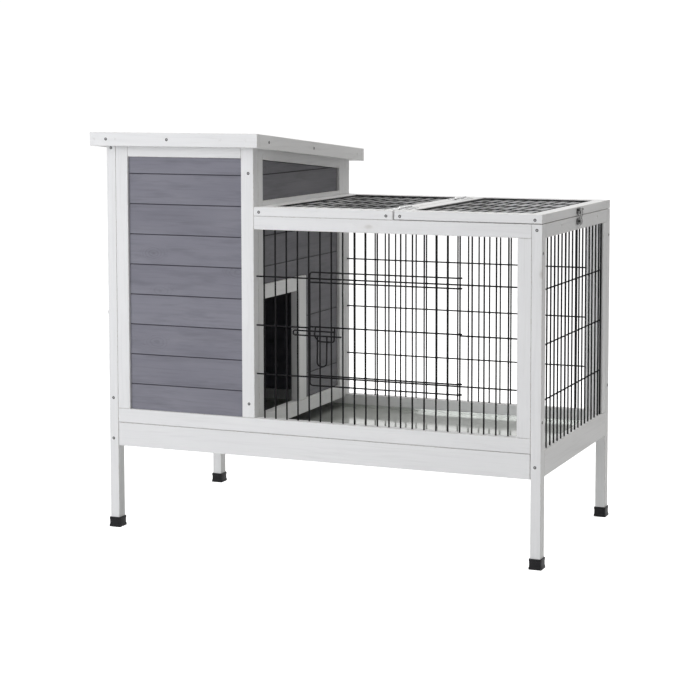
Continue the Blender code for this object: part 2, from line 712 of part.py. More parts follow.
def hinge(matrix, fixed_leaf, moving_leaf):
    """A surface hinge about local Z, with its leaves on the plane local Y = -knuckle radius.

    The fixed leaf reaches along local -X and carries the outer knuckles and the pin, and the
    moving leaf reaches along local +X and carries the middle knuckle.
    """
    half = HINGE_HEIGHT / 2
    third = HINGE_HEIGHT / 6
    outer_spans = [(-half, -third - GAP), (third + GAP, half)]
    fixed = hinge_leaf(fixed_leaf, -1, outer_spans, matrix)
    pin = cylinder(f"{fixed_leaf}_pin", HINGE_PIN_RADIUS, -half + GAP, half - GAP)
    pin.matrix_world = matrix
    cut(fixed, pin, "UNION")
    moving = hinge_leaf(moving_leaf, 1, [(-third, third)], matrix)
    bore = cylinder(f"{moving_leaf}_bore", HINGE_PIN_RADIUS + HINGE_PIN_CLEARANCE, -half, half)
    bore.matrix_world = matrix
    cut(moving, bore)


def hinge_leaf(name, side, spans, matrix):
    """A waisted plate, with a tongue rolled into a knuckle over each span of its height."""
    half = HINGE_HEIGHT / 2
    edge = side * HINGE_LEAF
    root = side * (HINGE_KNUCKLE_RADIUS + GAP)
    web = side * HINGE_WEB_INSET
    outline = [(root, -half), (edge, -half), (edge, -HINGE_NOTCH_HALF), (edge - side * HINGE_NOTCH, 0.0),
               (edge, HINGE_NOTCH_HALF), (edge, half), (root, half)]
    for low, high in spans[::-1]:
        outline += [(root, high), (web, high), (web, low), (root, low)]
    outline = [point for i, point in enumerate(outline) if point != outline[i - 1]]
    bm = bmesh.new()
    join_ends(bm, [[(x, lift - HINGE_KNUCKLE_RADIUS, z) for x, z in outline] for lift in (0.0, HINGE_SHEET)])
    plate = add_object(name, bm, "zinc")
    plate.matrix_world = matrix
    for number, (low, high) in enumerate(spans):
        knuckle = cylinder(f"{name}_knuckle_{number}", HINGE_KNUCKLE_RADIUS, low, high)
        knuckle.matrix_world = matrix
        cut(plate, knuckle, "UNION")
    return plate


def turned_to(x, y, z):
    """A turn that sends the local axes to the three given directions."""
    return Matrix((x, y, z)).transposed().to_4x4()


def hinges():
    lift = HINGE_KNUCKLE_RADIUS + GAP
    for end, y in (("front", LID_HINGE_FRONT_INSET), ("back", FRAME_DEPTH - LID_HINGE_BACK_INSET)):
        turn = turned_to((1, 0, 0), (0, 0, 1), (0, -1, 0))
        place = Matrix.Translation((TOP_SPLIT_X, y, LID_TOP + lift)) @ turn
        hinge(place, f"lid_{end}_hinge_fixed_leaf", f"lid_{end}_hinge_moving_leaf")
    for end, z in (("lower", BASE_TOP + SIDE_HINGE_LOW_INSET),
                   ("upper", SIDE_DOOR_TOP - SIDE_HINGE_HIGH_INSET)):
        place = Matrix.Translation((-lift, BACK_INNER - SIDE_HINGE_SET, z))
        place = place @ turned_to((0, -1, 0), (-1, 0, 0), (0, 0, -1))
        hinge(place, f"side_door_{end}_hinge_fixed_leaf", f"side_door_{end}_hinge_moving_leaf")


def lid_hasp():
    """A strap that hangs from a plate on the lid, in front of the catch on the run's side rail."""
    face = FRAME_LENGTH + GAP
    middle = FRAME_DEPTH / 2
    half = HASP_WIDTH / 2
    plate_low = LID_BOTTOM + HASP_PLATE_RISE
    plate_high = plate_low + HASP_PLATE_HEIGHT
    board("hasp_plate", (face, middle - half, plate_low), (face + HASP_SHEET, middle + half, plate_high),
          "zinc", 0.0)
    catch_high = RUN_TOP - HASP_CATCH_DROP
    catch = board("hasp_catch", (face, middle - half, catch_high - HASP_PLATE_HEIGHT),
                  (face + HASP_SHEET, middle + half, catch_high), "zinc", 0.0)
    knob = cylinder("hasp_knob", HASP_KNOB_RADIUS, 0.0, HASP_SHEET + HASP_KNOB_RISE)
    outward = turned_to((0, 0, -1), (0, 1, 0), (1, 0, 0))
    knob.matrix_world = Matrix.Translation((face, middle, catch_high - HASP_PLATE_HEIGHT / 2)) @ outward
    cut(catch, knob, "UNION")

    strap_half = HASP_STRAP_WIDTH / 2
    pivot = Vector((face + HASP_SHEET + GAP + HASP_BARREL_RADIUS, middle, plate_high - HASP_BARREL_RADIUS))
    strap_face = HASP_BARREL_RADIUS - HASP_SHEET + HASP_STRAP_OFFSET
    bm = bmesh.new()
    add_box(bm, (strap_face - HASP_SHEET, -strap_half, -HASP_STRAP_LENGTH),
            (strap_face, strap_half, 0.0))
    strap = add_object("hasp_strap", bm, "zinc")
    strap.location = pivot
    barrel = cylinder("hasp_barrel", HASP_BARREL_RADIUS, HASP_BARREL_INSET - half, half - HASP_BARREL_INSET)
    barrel.matrix_world = Matrix.Translation(pivot) @ turned_to((1, 0, 0), (0, 0, 1), (0, -1, 0))
    cut(strap, barrel, "UNION")


def side_door_hook():
    """A wire hook that hangs from a screw on the side door, beside an eye on the front leg."""
    pivot = Vector((-GAP, LEG_Y + SIDE_DOOR_CLEARANCE + BAR / 2, HOOK_HEIGHT_Z))
    outward = turned_to((0, 0, 1), (0, 1, 0), (-1, 0, 0))
    ring = cylinder("side_door_hook", HOOK_RING_RADIUS, 0.0, 2 * HOOK_WIRE_RADIUS, "zinc")
    ring.matrix_world = Matrix.Translation(pivot) @ outward
    low = pivot - Vector((2 * HOOK_WIRE_RADIUS, HOOK_WIRE_RADIUS, HOOK_LENGTH))
    shank = board("hook_shank", low, (pivot.x, pivot.y + HOOK_WIRE_RADIUS, pivot.z), None, 0.0)
    cut(ring, shank, "UNION")
    eye = cylinder("side_door_eye", EYE_RADIUS, 0.0, EYE_SHEET, "zinc")
    eye_place = Matrix.Translation((-GAP, LEG_Y / 2, HOOK_HEIGHT_Z)) @ outward
    eye.matrix_world = eye_place
    stud = cylinder("eye_stud", EYE_STUD_RADIUS, 0.0, EYE_STUD_LENGTH)
    stud.matrix_world = eye_place
    cut(eye, stud, "UNION")


def centre_origin():
    """Move everything so that the origin is on the floor under the middle of the hutch."""
    bpy.context.view_layer.update()
    corners = [obj.matrix_world @ Vector(c) for obj in bpy.data.objects if not obj.hide_render
               for c in obj.bound_box]
    low = [min(c[k] for c in corners) for k in range(3)]
    high = [max(c[k] for c in corners) for k in range(3)]
    shift = Vector((-(low[0] + high[0]) / 2, -(low[1] + high[1]) / 2, -low[2]))
    for obj in bpy.data.objects:
        obj.matrix_world = Matrix.Translation(shift) @ obj.matrix_world


def main():
    clear_scene()
    legs_and_feet()
    base_rails()
    tray()
    house_walls()
    side_door()
    roof()
    run_frame()
    columns, rows = run_meshes()
    top_panels()
    wire_door(columns, rows)
    hinges()
    lid_hasp()
    side_door_hook()
    centre_origin()


main()
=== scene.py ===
"""Looks of the rabbit hutch: materials, round wires, fittings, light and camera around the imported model."""
import json
import math
import random

import bmesh
import bpy
from mathutils import Matrix, Vector


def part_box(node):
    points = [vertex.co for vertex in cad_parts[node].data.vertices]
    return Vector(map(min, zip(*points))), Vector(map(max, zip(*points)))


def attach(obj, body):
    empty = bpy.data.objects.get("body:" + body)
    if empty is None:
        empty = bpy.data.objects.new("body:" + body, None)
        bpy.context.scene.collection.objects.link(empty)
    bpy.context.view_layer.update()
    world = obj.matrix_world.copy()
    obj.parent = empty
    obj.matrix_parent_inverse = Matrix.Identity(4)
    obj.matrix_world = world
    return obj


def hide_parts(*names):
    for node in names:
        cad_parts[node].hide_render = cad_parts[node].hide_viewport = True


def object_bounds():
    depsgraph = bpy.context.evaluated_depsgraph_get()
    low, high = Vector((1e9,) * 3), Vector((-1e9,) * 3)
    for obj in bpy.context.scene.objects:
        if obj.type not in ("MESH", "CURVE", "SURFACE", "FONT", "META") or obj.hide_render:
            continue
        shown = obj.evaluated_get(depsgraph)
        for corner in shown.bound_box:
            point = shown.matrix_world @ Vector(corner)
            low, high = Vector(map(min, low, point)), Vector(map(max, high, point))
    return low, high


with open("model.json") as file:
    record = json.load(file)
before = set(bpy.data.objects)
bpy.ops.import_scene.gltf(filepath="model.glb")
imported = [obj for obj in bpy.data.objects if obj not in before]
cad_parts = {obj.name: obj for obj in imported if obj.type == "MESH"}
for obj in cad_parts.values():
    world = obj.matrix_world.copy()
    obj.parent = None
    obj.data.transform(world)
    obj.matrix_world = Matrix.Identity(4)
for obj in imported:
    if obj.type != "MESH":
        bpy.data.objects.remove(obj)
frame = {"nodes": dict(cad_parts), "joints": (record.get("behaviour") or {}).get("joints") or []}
cad_low, cad_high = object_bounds()

NODES = frame["nodes"]
JOINTS = {joint["name"]: joint for joint in frame["joints"]}
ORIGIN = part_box("front_left_leg")[0]      # outer corner of the frame, on which all offsets below are based
X, Y, Z = Vector((1, 0, 0)), Vector((0, 1, 0)), Vector((0, 0, 1))
dice = random.Random(7)

# Camera
CAMERA_AT = (1.4088, -3.3413, 0.8777)
CAMERA_YAW = 0.38182
CAMERA_PITCH = 0.07652
CAMERA_LENS = 93.47
CAMERA_SHIFT = (-0.0571, -0.1786)

# Studio
FLOOR_REACH = 14.0
FLOOR_SHADE = 0.80
FLOOR_GLOW = 1.00
WORLD_STRENGTH = 0.10
LIGHTS = (
    ("key", (-1.6, -3.2, 2.3), (2.6, 2.2), 32.0, (0.966, 0.976, 1.0)),
    ("low", (-1.8, -3.6, 0.5), (3.0, 2.0), 68.0, (0.966, 0.976, 1.0)),
    ("top", (0.3, 0.2, 3.0), (3.0, 3.0), 60.0, (1.0, 0.99, 0.97)),
    ("back", (1.2, 3.2, 1.8), (3.0, 2.0), 14.0, (1.0, 0.985, 0.95)),
    ("right", (3.6, -0.8, 0.8), (2.4, 2.0), 6.0, (1.0, 0.985, 0.95)),
)

# Planks
KNOT_RINGS = 95.0               # how closely the rings lie round a knot
SIDE_PLANK_PAINTED_SHADE = 0.93              # painted shade: planks that run from front to back are made a little darker
SIDE_PLANK_PAINTED_SHADE_BLUE = 0.92               # and a little less blue, also painted shade
SEAM_Z = 0.7062
PLANK_PITCH = 0.0594
PLANK_GAP = 0.0001              # half of what shows between two planks
DOORWAY_GAP = 0.0003

# Boards
BAR = 0.0265
FASCIA_HEIGHT = 0.0266
FASCIA_THICKNESS = 0.012
ROOF_FALL = 0.0855              # drop for each metre of depth
DOORWAY_HEAD = 0.0275
DOORWAY_JAMB = 0.035
JOINT_GAP = 0.0001
SPLIT_TRIM = 0.0010             # taken off each half of the run's top, where they meet
LID_LIFT = 0.0009
SOFT_EDGE = 0.0009
PLANK_EDGE = 0.0011

# Wires
PITCH = 0.02339
FRONT_FIRST = 0.3378
FRONT_ROW = 0.3252
FRONT_ROW_PITCH = 0.0941
BACK_ROW = 0.3060
BACK_ROW_PITCH = 0.1013
SIDE_FIRST = 0.0456
TOP_FIRST = 0.0097
TOP_CROSS_FIRST = 0.055
TOP_CROSS_PITCH = 0.094
VERTICAL_RADIUS = 0.00160
CROSS_RADIUS = 0.00146
WELD_DEPTH = 0.0024             # from the upright wires' centres to those across
BEAD = 0.00125
TOP_WIRE_SHARE = 0.50
EDGE_WIRE_RADIUS = 0.0018
TOP_EDGE_RADIUS = 0.0012
INTO_WOOD = 0.0035              # how far the wire ends run into the timber
DOOR_WIRE = 4                   # the upright at the door's free side
HINGE_WIRE = 17                 # the upright that the door turns on
DOOR_LEFT_SHIFT = 0.0036
DOOR_BAR_SHIFT = 0.0022
DOOR_BAR_RISE = 0.0030          # the door's middle bar, above the mesh's middle row
HOOK_CLEARANCE = 0.0002
HOOK_TURN = 285                 # degrees that the door's bars wrap round that upright
BOLT_CLEARANCE = 0.0003

# Fittings
HOOK_STANDOFF = 0.0034
HASP_PLATE = (0.028, 0.0125, 0.0058)            # width, height, corner
EYE_PLATE = (0.0135, 0.058, 0.0062, 0.0012)     # width, height, corner, sheet


# ---------------------------------------------------------------- materials


class Graph:
    """Short calls for building a material's nodes."""

    def __init__(self, name):
        self.material = bpy.data.materials.new(name)
        self.material.use_nodes = True
        self.tree = self.material.node_tree
        self.shader = self.tree.nodes["Principled BSDF"]

    def put(self, socket, value):
        if isinstance(value, bpy.types.NodeSocket):
            self.tree.links.new(value, socket)
        else:
            socket.default_value = value

    def node(self, kind, inputs=(), output=0, **settings):
        made = self.tree.nodes.new("ShaderNode" + kind)
        for key, value in settings.items():
            setattr(made, key, value)
        for key, value in dict(inputs).items():
            self.put(made.inputs[key], value)
        return made.outputs[output]

    def math(self, operation, a, b=0.0):
        return self.node("Math", {0: a, 1: b}, operation=operation)

    def band(self, value, low, high, to_low=0.0, to_high=1.0):
        return self.node("MapRange", {0: value, 1: low, 2: high, 3: to_low, 4: to_high})

    def mix(self, factor, a, b):
        made = self.tree.nodes.new("ShaderNodeMix")
        made.data_type = "RGBA"
        for key, value in ((0, factor), (6, a), (7, b)):
            self.put(made.inputs[key], value)
        return made.outputs[2]

    def noise(self, vector, scale, detail=3.0, roughness=0.5):
        return self.node("TexNoise", {"Vector": vector, "Scale": scale, "Detail": detail,
                                      "Roughness": roughness})

    def split(self, kind, source):
        """The parts of a vector or a colour."""
        made = self.tree.nodes.new("ShaderNodeSeparate" + kind)
        self.put(made.inputs[0], source)
        return made.outputs

    def bump(self, height, strength, distance):
        normal = self.node("Bump", {"Height": height, "Strength": strength, "Distance": distance})
        self.put(self.shader.inputs["Normal"], normal)

    def finish(self, **values):
        for key, value in values.items():
            self.put(self.shader.inputs[key.replace("_", " ")], value)
        return self.material


def grey(value):
    return (value, value, value, 1.0)


def tint(red, green, blue):
    return (red, green, blue, 1.0)


def along(g, axis, seed):
    """Coordinates with the grain along their first part, moved by a seed of their own."""
    parts = g.split("XYZ", g.node("TexCoord", output=3))
    turned = g.node("CombineXYZ", {k: parts[(axis + k) % 3] for k in range(3)})
    return g.node("VectorMath", {0: turned, 1: (seed * 1.37, seed * 0.61, seed * 0.83)}, operation="ADD")


def scaled(g, vector, *factors):
    return g.node("VectorMath", {0: vector, 1: factors}, operation="MULTIPLY")


def edge_mask(g):
    """1 on chamfers and groove sides, 0 on the flat faces."""
    normal = g.node("NewGeometry", output=1)
    local = g.node("VectorTransform", {0: normal}, vector_type="NORMAL", convert_from="WORLD",
                   convert_to="OBJECT")
    parts = g.split("XYZ", g.node("VectorMath", {0: local}, operation="ABSOLUTE"))
    largest = g.math("MAXIMUM", g.math("MAXIMUM", parts[0], parts[1]), parts[2])
    return g.band(largest, 0.97, 0.85)


def knots(g, coords, cell, radius, share):
    """Soft spots where a branch was: how strong, how near, and the distance that the rings follow."""
    place = scaled(g, coords, 0.55 / cell, 1.0 / cell, 1.0 / cell)
    warp = g.noise(scaled(g, coords, 30, 90, 90), 1.0, 2.0)
    spot = g.tree.nodes.new("ShaderNodeTexVoronoi")
    spot.inputs["Scale"].default_value = 1.0
    g.put(spot.inputs["Vector"], place)
    kept = g.math("LESS_THAN", g.split("Color", spot.outputs["Color"])[0], share)
    wobble = g.math("MULTIPLY", g.math("SUBTRACT", warp, 0.5), 0.10)
    reach = g.math("ADD", spot.outputs["Distance"], wobble)
    strength = g.math("MULTIPLY", g.band(reach, radius / cell, radius * 0.35 / cell), kept)
    near = g.math("MULTIPLY", g.band(reach, 3.5 * radius / cell, radius / cell), kept)
    return strength, near, reach


def grain(g, coords, near):
    """Fine lines along the board that bend round the knots."""
    slow = g.noise(scaled(g, coords, 3.0, 14, 14), 1.0, 2.0)
    bend = g.math("ADD", g.math("MULTIPLY", slow, 0.030), g.math("MULTIPLY", near, 0.006))
    sideways = g.node("CombineXYZ", {0: 0.0, 1: bend, 2: bend})
    shifted = g.node("VectorMath", {0: coords, 1: sideways}, operation="ADD")
    broad = g.noise(scaled(g, shifted, 5, 210, 210), 1.0, 3.0, 0.6)
    fine = g.noise(scaled(g, shifted, 14, 900, 900), 1.0, 2.0, 0.6)
    return broad, fine


def white_wood(axis, seed):
    g = Graph(f"white_painted_wood_{'xyz'[axis]}_{seed}")
    coords = along(g, axis, seed)
    knot, near, _ = knots(g, coords, 0.075, 0.0055, 0.16)
    broad, fine = grain(g, coords, near)
    patch = g.noise(scaled(g, coords, 4, 12, 12), 1.0, 3.0)
    paint = g.mix(g.band(patch, 0.35, 0.65), tint(0.805, 0.805, 0.808), tint(0.850, 0.850, 0.852))
    paint = g.mix(g.band(broad, 0.50, 0.72, 0.0, 0.34), paint, tint(0.700, 0.698, 0.700))
    paint = g.mix(g.band(fine, 0.58, 0.75, 0.0, 0.25), paint, tint(0.68, 0.68, 0.68))
    paint = g.mix(g.math("MULTIPLY", near, 0.10), paint, tint(0.62, 0.60, 0.57))
    paint = g.mix(g.math("MULTIPLY", knot, 0.42), paint, tint(0.42, 0.39, 0.35))
    edge = edge_mask(g)
    worn = g.math("MULTIPLY", edge, g.band(g.noise(coords, 160.0, 4.0, 0.7), 0.48, 0.66))
    paint = g.mix(g.math("MULTIPLY", edge, 0.10), paint, tint(0.66, 0.65, 0.63))
    paint = g.mix(g.math("MULTIPLY", worn, 0.55), paint, tint(0.50, 0.44, 0.36))
    height = g.math("ADD", g.math("MULTIPLY", broad, 0.6), g.math("MULTIPLY", fine, 0.35))
    height = g.math("SUBTRACT", height, g.math("MULTIPLY", knot, 0.5))
    g.bump(height, 0.35, 0.0004)
    rough = g.band(g.math("ADD", broad, patch), 0.7, 1.3, 0.44, 0.62)
    return g.finish(Base_Color=paint, Roughness=rough)


def grey_wood(axis, seed):
    """Stained planks: every plank between two seams has a tone and a figure of its own; planks that run from
    front to back also get painted shade.
    """
    g = Graph(f"grey_painted_wood_{'xyz'[axis]}_{seed}")
    coords = along(g, axis, seed)
    level = g.split("XYZ", g.node("TexCoord", output=3))[2]
    number = g.math("FLOOR", g.math("DIVIDE", g.math("SUBTRACT", level, SEAM_Z), PLANK_PITCH))
    tone = g.tree.nodes.new("ShaderNodeTexWhiteNoise")
    tone.noise_dimensions = "1D"
    g.put(tone.inputs["W"], g.math("ADD", number, seed * 7.3))
    move = g.node("CombineXYZ", {0: g.math("MULTIPLY", number, 2.17),
                                 1: g.math("MULTIPLY", number, 0.71), 2: 0.0})
    coords = g.node("VectorMath", {0: coords, 1: move}, operation="ADD")
    knot, near, reach = knots(g, coords, 0.052, 0.0062, 0.42)
    broad, fine = grain(g, coords, near)
    patch = g.noise(scaled(g, coords, 5, 22, 22), 1.0, 3.0)

    # The stain's colours; on planks that run from front to back they are darkened as painted shade.
    def stain_and_painted_shade(red, green, blue):
        if axis != 1:
            return tint(red, green, blue)
        return tint(red * SIDE_PLANK_PAINTED_SHADE, green * SIDE_PLANK_PAINTED_SHADE, blue * SIDE_PLANK_PAINTED_SHADE * SIDE_PLANK_PAINTED_SHADE_BLUE)

    paint = g.mix(tone.outputs[0], stain_and_painted_shade(0.194, 0.192, 0.228), stain_and_painted_shade(0.224, 0.222, 0.262))
    paint = g.mix(g.band(patch, 0.35, 0.68, 0.0, 0.85), paint, stain_and_painted_shade(0.258, 0.256, 0.296))
    cloud = g.noise(scaled(g, coords, 9, 60, 60), 1.0, 3.0, 0.55)
    paint = g.mix(g.band(cloud, 0.52, 0.72, 0.0, 0.45), paint, stain_and_painted_shade(0.152, 0.150, 0.178))
    rings = g.math("SINE", g.math("MULTIPLY", reach, KNOT_RINGS))
    paint = g.mix(g.math("MULTIPLY", g.band(rings, 0.1, 1.0), g.math("MULTIPLY", near, 0.30)), paint,
                  stain_and_painted_shade(0.128, 0.126, 0.150))
    paint = g.mix(g.band(broad, 0.50, 0.74, 0.0, 0.30), paint, stain_and_painted_shade(0.150, 0.147, 0.172))
    paint = g.mix(g.band(fine, 0.56, 0.80, 0.0, 0.20), paint, stain_and_painted_shade(0.290, 0.287, 0.320))
    paint = g.mix(g.math("MULTIPLY", near, 0.14), paint, stain_and_painted_shade(0.150, 0.147, 0.172))
    paint = g.mix(g.math("MULTIPLY", knot, 0.60), paint, stain_and_painted_shade(0.085, 0.082, 0.100))
    paint = g.mix(g.math("MULTIPLY", edge_mask(g), 0.75), paint, stain_and_painted_shade(0.050, 0.048, 0.060))
    height = g.math("ADD", g.math("MULTIPLY", broad, 0.8), g.math("MULTIPLY", fine, 0.4))
    g.bump(g.math("SUBTRACT", height, g.math("MULTIPLY", knot, 0.6)), 0.5, 0.0005)
    rough = g.band(g.math("ADD", broad, fine), 0.7, 1.3, 0.55, 0.75)
    return g.finish(Base_Color=paint, Roughness=rough, Specular_IOR_Level=0.15)


def coated_wire():
    g = Graph("black_wire")
    coords = g.node("TexCoord", output=3)
    orange = g.noise(coords, 900.0, 3.0)
    dust = g.noise(coords, 55.0, 4.0, 0.65)
    paint = g.mix(g.band(dust, 0.5, 0.75, 0.0, 0.6), tint(0.004, 0.004, 0.005), tint(0.011, 0.011, 0.011))
    g.bump(orange, 0.25, 0.0002)
    return g.finish(Base_Color=paint, Roughness=g.band(dust, 0.3, 0.7, 0.42, 0.60), Specular_IOR_Level=0.10)


def black_plastic():
    g = Graph("black_plastic")
    coords = g.node("TexCoord", output=3)
    spark = g.noise(coords, 2200.0, 2.0)
    scuff = g.noise(scaled(g, coords, 90, 90, 900), 1.0, 4.0, 0.7)
    paint = g.mix(g.band(scuff, 0.52, 0.72, 0.0, 0.5), tint(0.004, 0.004, 0.005), tint(0.014, 0.014, 0.015))
    paint = g.mix(g.math("MULTIPLY", edge_mask(g), 0.35), paint, tint(0.055, 0.055, 0.058))
    g.bump(g.math("ADD", spark, scuff), 0.35, 0.0002)
    return g.finish(Base_Color=paint, Roughness=g.band(scuff, 0.3, 0.7, 0.40, 0.58), Specular_IOR_Level=0.16)


def tray_coating():
    g = Graph("tray_metal")
    coords = g.node("TexCoord", output=3)
    sheet = g.noise(scaled(g, coords, 7, 10, 10), 1.0, 3.0)
    brushed = g.noise(scaled(g, coords, 3, 420, 60), 1.0, 3.0)
    paint = g.mix(g.band(sheet, 0.35, 0.65), tint(0.56, 0.58, 0.55), tint(0.63, 0.65, 0.62))
    paint = g.mix(g.band(brushed, 0.5, 0.75, 0.0, 0.25), paint, tint(0.50, 0.52, 0.49))
    g.bump(g.math("ADD", g.math("MULTIPLY", sheet, 2.5), g.math("MULTIPLY", brushed, 0.08)), 0.10, 0.002)
    return g.finish(Base_Color=paint, Metallic=0.30, Roughness=g.band(sheet, 0.3, 0.7, 0.06, 0.13),
                    Specular_IOR_Level=0.75)


def roofing_felt():
    g = Graph("roof_board_felt")
    coords = g.node("TexCoord", output=3)
    grit = g.tree.nodes.new("ShaderNodeTexVoronoi")
    g.put(grit.inputs["Vector"], coords)
    grit.inputs["Scale"].default_value = 620.0
    shade = g.split("Color", grit.outputs["Color"])[0]
    patch = g.noise(coords, 9.0, 4.0, 0.6)
    stone = g.mix(shade, tint(0.105, 0.105, 0.115), tint(0.330, 0.330, 0.345))
    stone = g.mix(g.band(patch, 0.4, 0.7, 0.0, 0.45), stone, tint(0.140, 0.140, 0.150))
    g.bump(grit.outputs["Distance"], 0.6, 0.0012)
    return g.finish(Base_Color=stone, Roughness=0.92)


def dark_steel(name, base, low, high, metal=0.92):
    """Plated or blackened steel, from its base grey and the range of its roughness."""
    g = Graph(name)
    coords = g.node("TexCoord", output=3)
    bloom = g.noise(coords, 240.0, 4.0, 0.6)
    scratch = g.noise(scaled(g, coords, 120, 2200, 300), 1.0, 2.0)
    paint = g.mix(g.band(bloom, 0.35, 0.7), grey(base), grey(base * 1.8))
    paint = g.mix(g.math("MULTIPLY", edge_mask(g), 0.4), paint, grey(min(1.0, base * 3.5)))
    g.bump(g.math("ADD", bloom, g.math("MULTIPLY", scratch, 0.4)), 0.2, 0.0002)
    return g.finish(Base_Color=paint, Metallic=metal, Roughness=g.band(bloom, 0.3, 0.7, low, high))


WHITE = {}


def white(axis, seed):
    if (axis, seed) not in WHITE:
        WHITE[axis, seed] = white_wood(axis, seed)
    return WHITE[axis, seed]


GREY_X = [grey_wood(0, seed) for seed in (1, 2)]
# These planks, on the side door and the partition, carry painted shade.
GREY_Y = [grey_wood(1, seed) for seed in (3, 4)]
WIRE = coated_wire()
PLASTIC = black_plastic()
TRAY = tray_coating()
FELT = roofing_felt()
HINGE_METAL = dark_steel("hinge_steel", 0.42, 0.26, 0.40, 0.85)
SCREW_METAL = dark_steel("screw_steel", 0.045, 0.34, 0.50, 0.55)
LATCH_METAL = dark_steel("latch_steel", 0.014, 0.30, 0.46, 0.30)
HOOK_METAL = dark_steel("hook_steel", 0.13, 0.20, 0.32)
PALE_METAL = dark_steel("pale_zinc", 0.62, 0.34, 0.50, 0.45)


# ---------------------------------------------------------------- mesh helpers

def piece(name, bm, materials, body, replaces=(), bevel=0.0, segments=2):
    """Finish a mesh: turn its normals out, give it its materials and let it ride on a body."""
    bmesh.ops.recalc_face_normals(bm, faces=bm.faces)
    mesh = bpy.data.meshes.new(name)
    bm.to_mesh(mesh)
    bm.free()
    obj = bpy.data.objects.new(name, mesh)
    bpy.context.scene.collection.objects.link(obj)
    for made in materials if isinstance(materials, (list, tuple)) else [materials]:
        mesh.materials.append(made)
    if bevel:
        step = obj.modifiers.new("rounded", "BEVEL")
        step.width = bevel
        step.segments = segments
        step.limit_method = "ANGLE"
        step.angle_limit = math.radians(35)
    for face in mesh.polygons:
        face.use_smooth = True
    mesh.set_sharp_from_angle(angle=math.radians(38))
    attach(obj, body)
    if replaces:
        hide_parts(*replaces)


def place(dx, dy, dz):
    """A point from offsets along, behind and above the frame's outer front left corner, floor level."""
    return Vector((ORIGIN.x + dx, ORIGIN.y + dy, dz))


def rounded(points, radius, steps=5):
    """A polyline with its corners rounded."""
    points = [Vector(p) for p in points]
    out = [points[0]]
    for before, corner, after in zip(points, points[1:], points[2:]):
        a, b = before - corner, after - corner
        reach = min(radius, a.length * 0.49, b.length * 0.49)
        angle = a.angle(b)
        if angle > math.pi - 0.01:
            out.append(corner)
            continue
        a.normalize()
        b.normalize()
        start, end = corner + a * reach, corner + b * reach
        for step in range(steps + 1):
            t = step / steps
            out.append(start * (1 - t) ** 2 + corner * 2 * t * (1 - t) + end * t * t)
    out.append(points[-1])
    return out


def circle(centre, radius, sides):
    """Points round a ring that lies across x."""
    x, y, z = centre
    angles = (2 * math.pi * k / sides for k in range(sides))
    return [(x, y + radius * math.cos(a), z + radius * math.sin(a)) for a in angles]


def skin(bm, rings):
    """Join rings of corners, each to the next, and leave the ends open."""
    for lower, upper in zip(rings, rings[1:]):
        for k in range(len(lower)):
            j = (k + 1) % len(lower)
            bm.faces.new((lower[k], lower[j], upper[j], upper[k]))


def corner_arcs(step):
    """The four corners of a plate, anticlockwise: the side each is on, and its angles."""
    for sx, sy, start in ((1, 1, 0), (-1, 1, 90), (-1, -1, 180), (1, -1, 270)):
        yield sx, sy, [math.radians(a) for a in range(start, start + 91, step)]


def tube(bm, points, radius, sides=10, closed=False):
    """A round wire along the points, with domed ends unless it is closed."""
    points = [Vector(p) for p in points]
    count = len(points)
    directions = []
    for i in range(count):
        before = points[i - 1] if i or closed else points[i]
        after = points[(i + 1) % count] if i < count - 1 or closed else points[i]
        directions.append((after - before).normalized())
    side = directions[0].orthogonal().normalized()
    rings = []

    def ring(centre, direction, size):
        nonlocal side
        side = (side - direction * side.dot(direction)).normalized()
        other = direction.cross(side)
        return [bm.verts.new(centre + (side * math.cos(a) + other * math.sin(a)) * size)
                for a in (2 * math.pi * k / sides for k in range(sides))]

    if not closed:
        rings.append(ring(points[0] - directions[0] * radius * 0.55, directions[0], radius * 0.62))
    for centre, direction in zip(points, directions):
        rings.append(ring(centre, direction, radius))
    if not closed:
        rings.append(ring(points[-1] + directions[-1] * radius * 0.55, directions[-1], radius * 0.62))
    skin(bm, rings)
    if closed:
        last, first = rings[-1], rings[0]

        def twist(turn):
            return sum((last[k].co - first[(k + turn) % sides].co).length for k in range(sides))

        turn = min(range(sides), key=twist)
        for k in range(sides):
            j = (k + 1) % sides
            bm.faces.new((last[k], last[j], first[(j + turn) % sides], first[(k + turn) % sides]))
    else:
        bm.faces.new(rings[0])
        bm.faces.new(rings[-1])


def bowed(start, end, amount, parts=6):
    """A nearly straight wire: it bows a little, as drawn wire does."""
    start, end = Vector(start), Vector(end)
    line = end - start
    a = line.orthogonal().normalized()
    b = line.normalized().cross(a)
    lean = (a * dice.uniform(-1, 1) + b * dice.uniform(-1, 1)) * amount
    return [start + line * (k / parts) + lean * math.sin(math.pi * k / parts) for k in range(parts + 1)]


def box(bm, low, high, material):
    corners = [bm.verts.new((x, y, z)) for x in (low[0], high[0])
               for y in (low[1], high[1]) for z in (low[2], high[2])]
    for loop in ((0, 1, 3, 2), (4, 6, 7, 5), (0, 4, 5, 1), (2, 3, 7, 6), (0, 2, 6, 4), (1, 5, 7, 3)):
        bm.faces.new([corners[i] for i in loop]).material_index = material


def prism(bm, outline, normal, thickness):
    """A plate: the outline in space, thickened along the normal."""
    low = [bm.verts.new(Vector(p)) for p in outline]
    high = [bm.verts.new(Vector(p) + normal * thickness) for p in outline]
    skin(bm, [low, high])
    bm.faces.new(low)
    bm.faces.new(high)


def blob(bm, centre, size, normal=Z, flat=1.0):
    """A weld bead: a small ball, flattened along a normal."""
    turn = Z.rotation_difference(normal).to_matrix().to_4x4()
    matrix = Matrix.Translation(centre) @ turn @ Matrix.Diagonal((size, size, size * flat, 1))
    bmesh.ops.create_icosphere(bm, subdivisions=2, radius=1.0, matrix=matrix)


# ---------------------------------------------------------------- timber

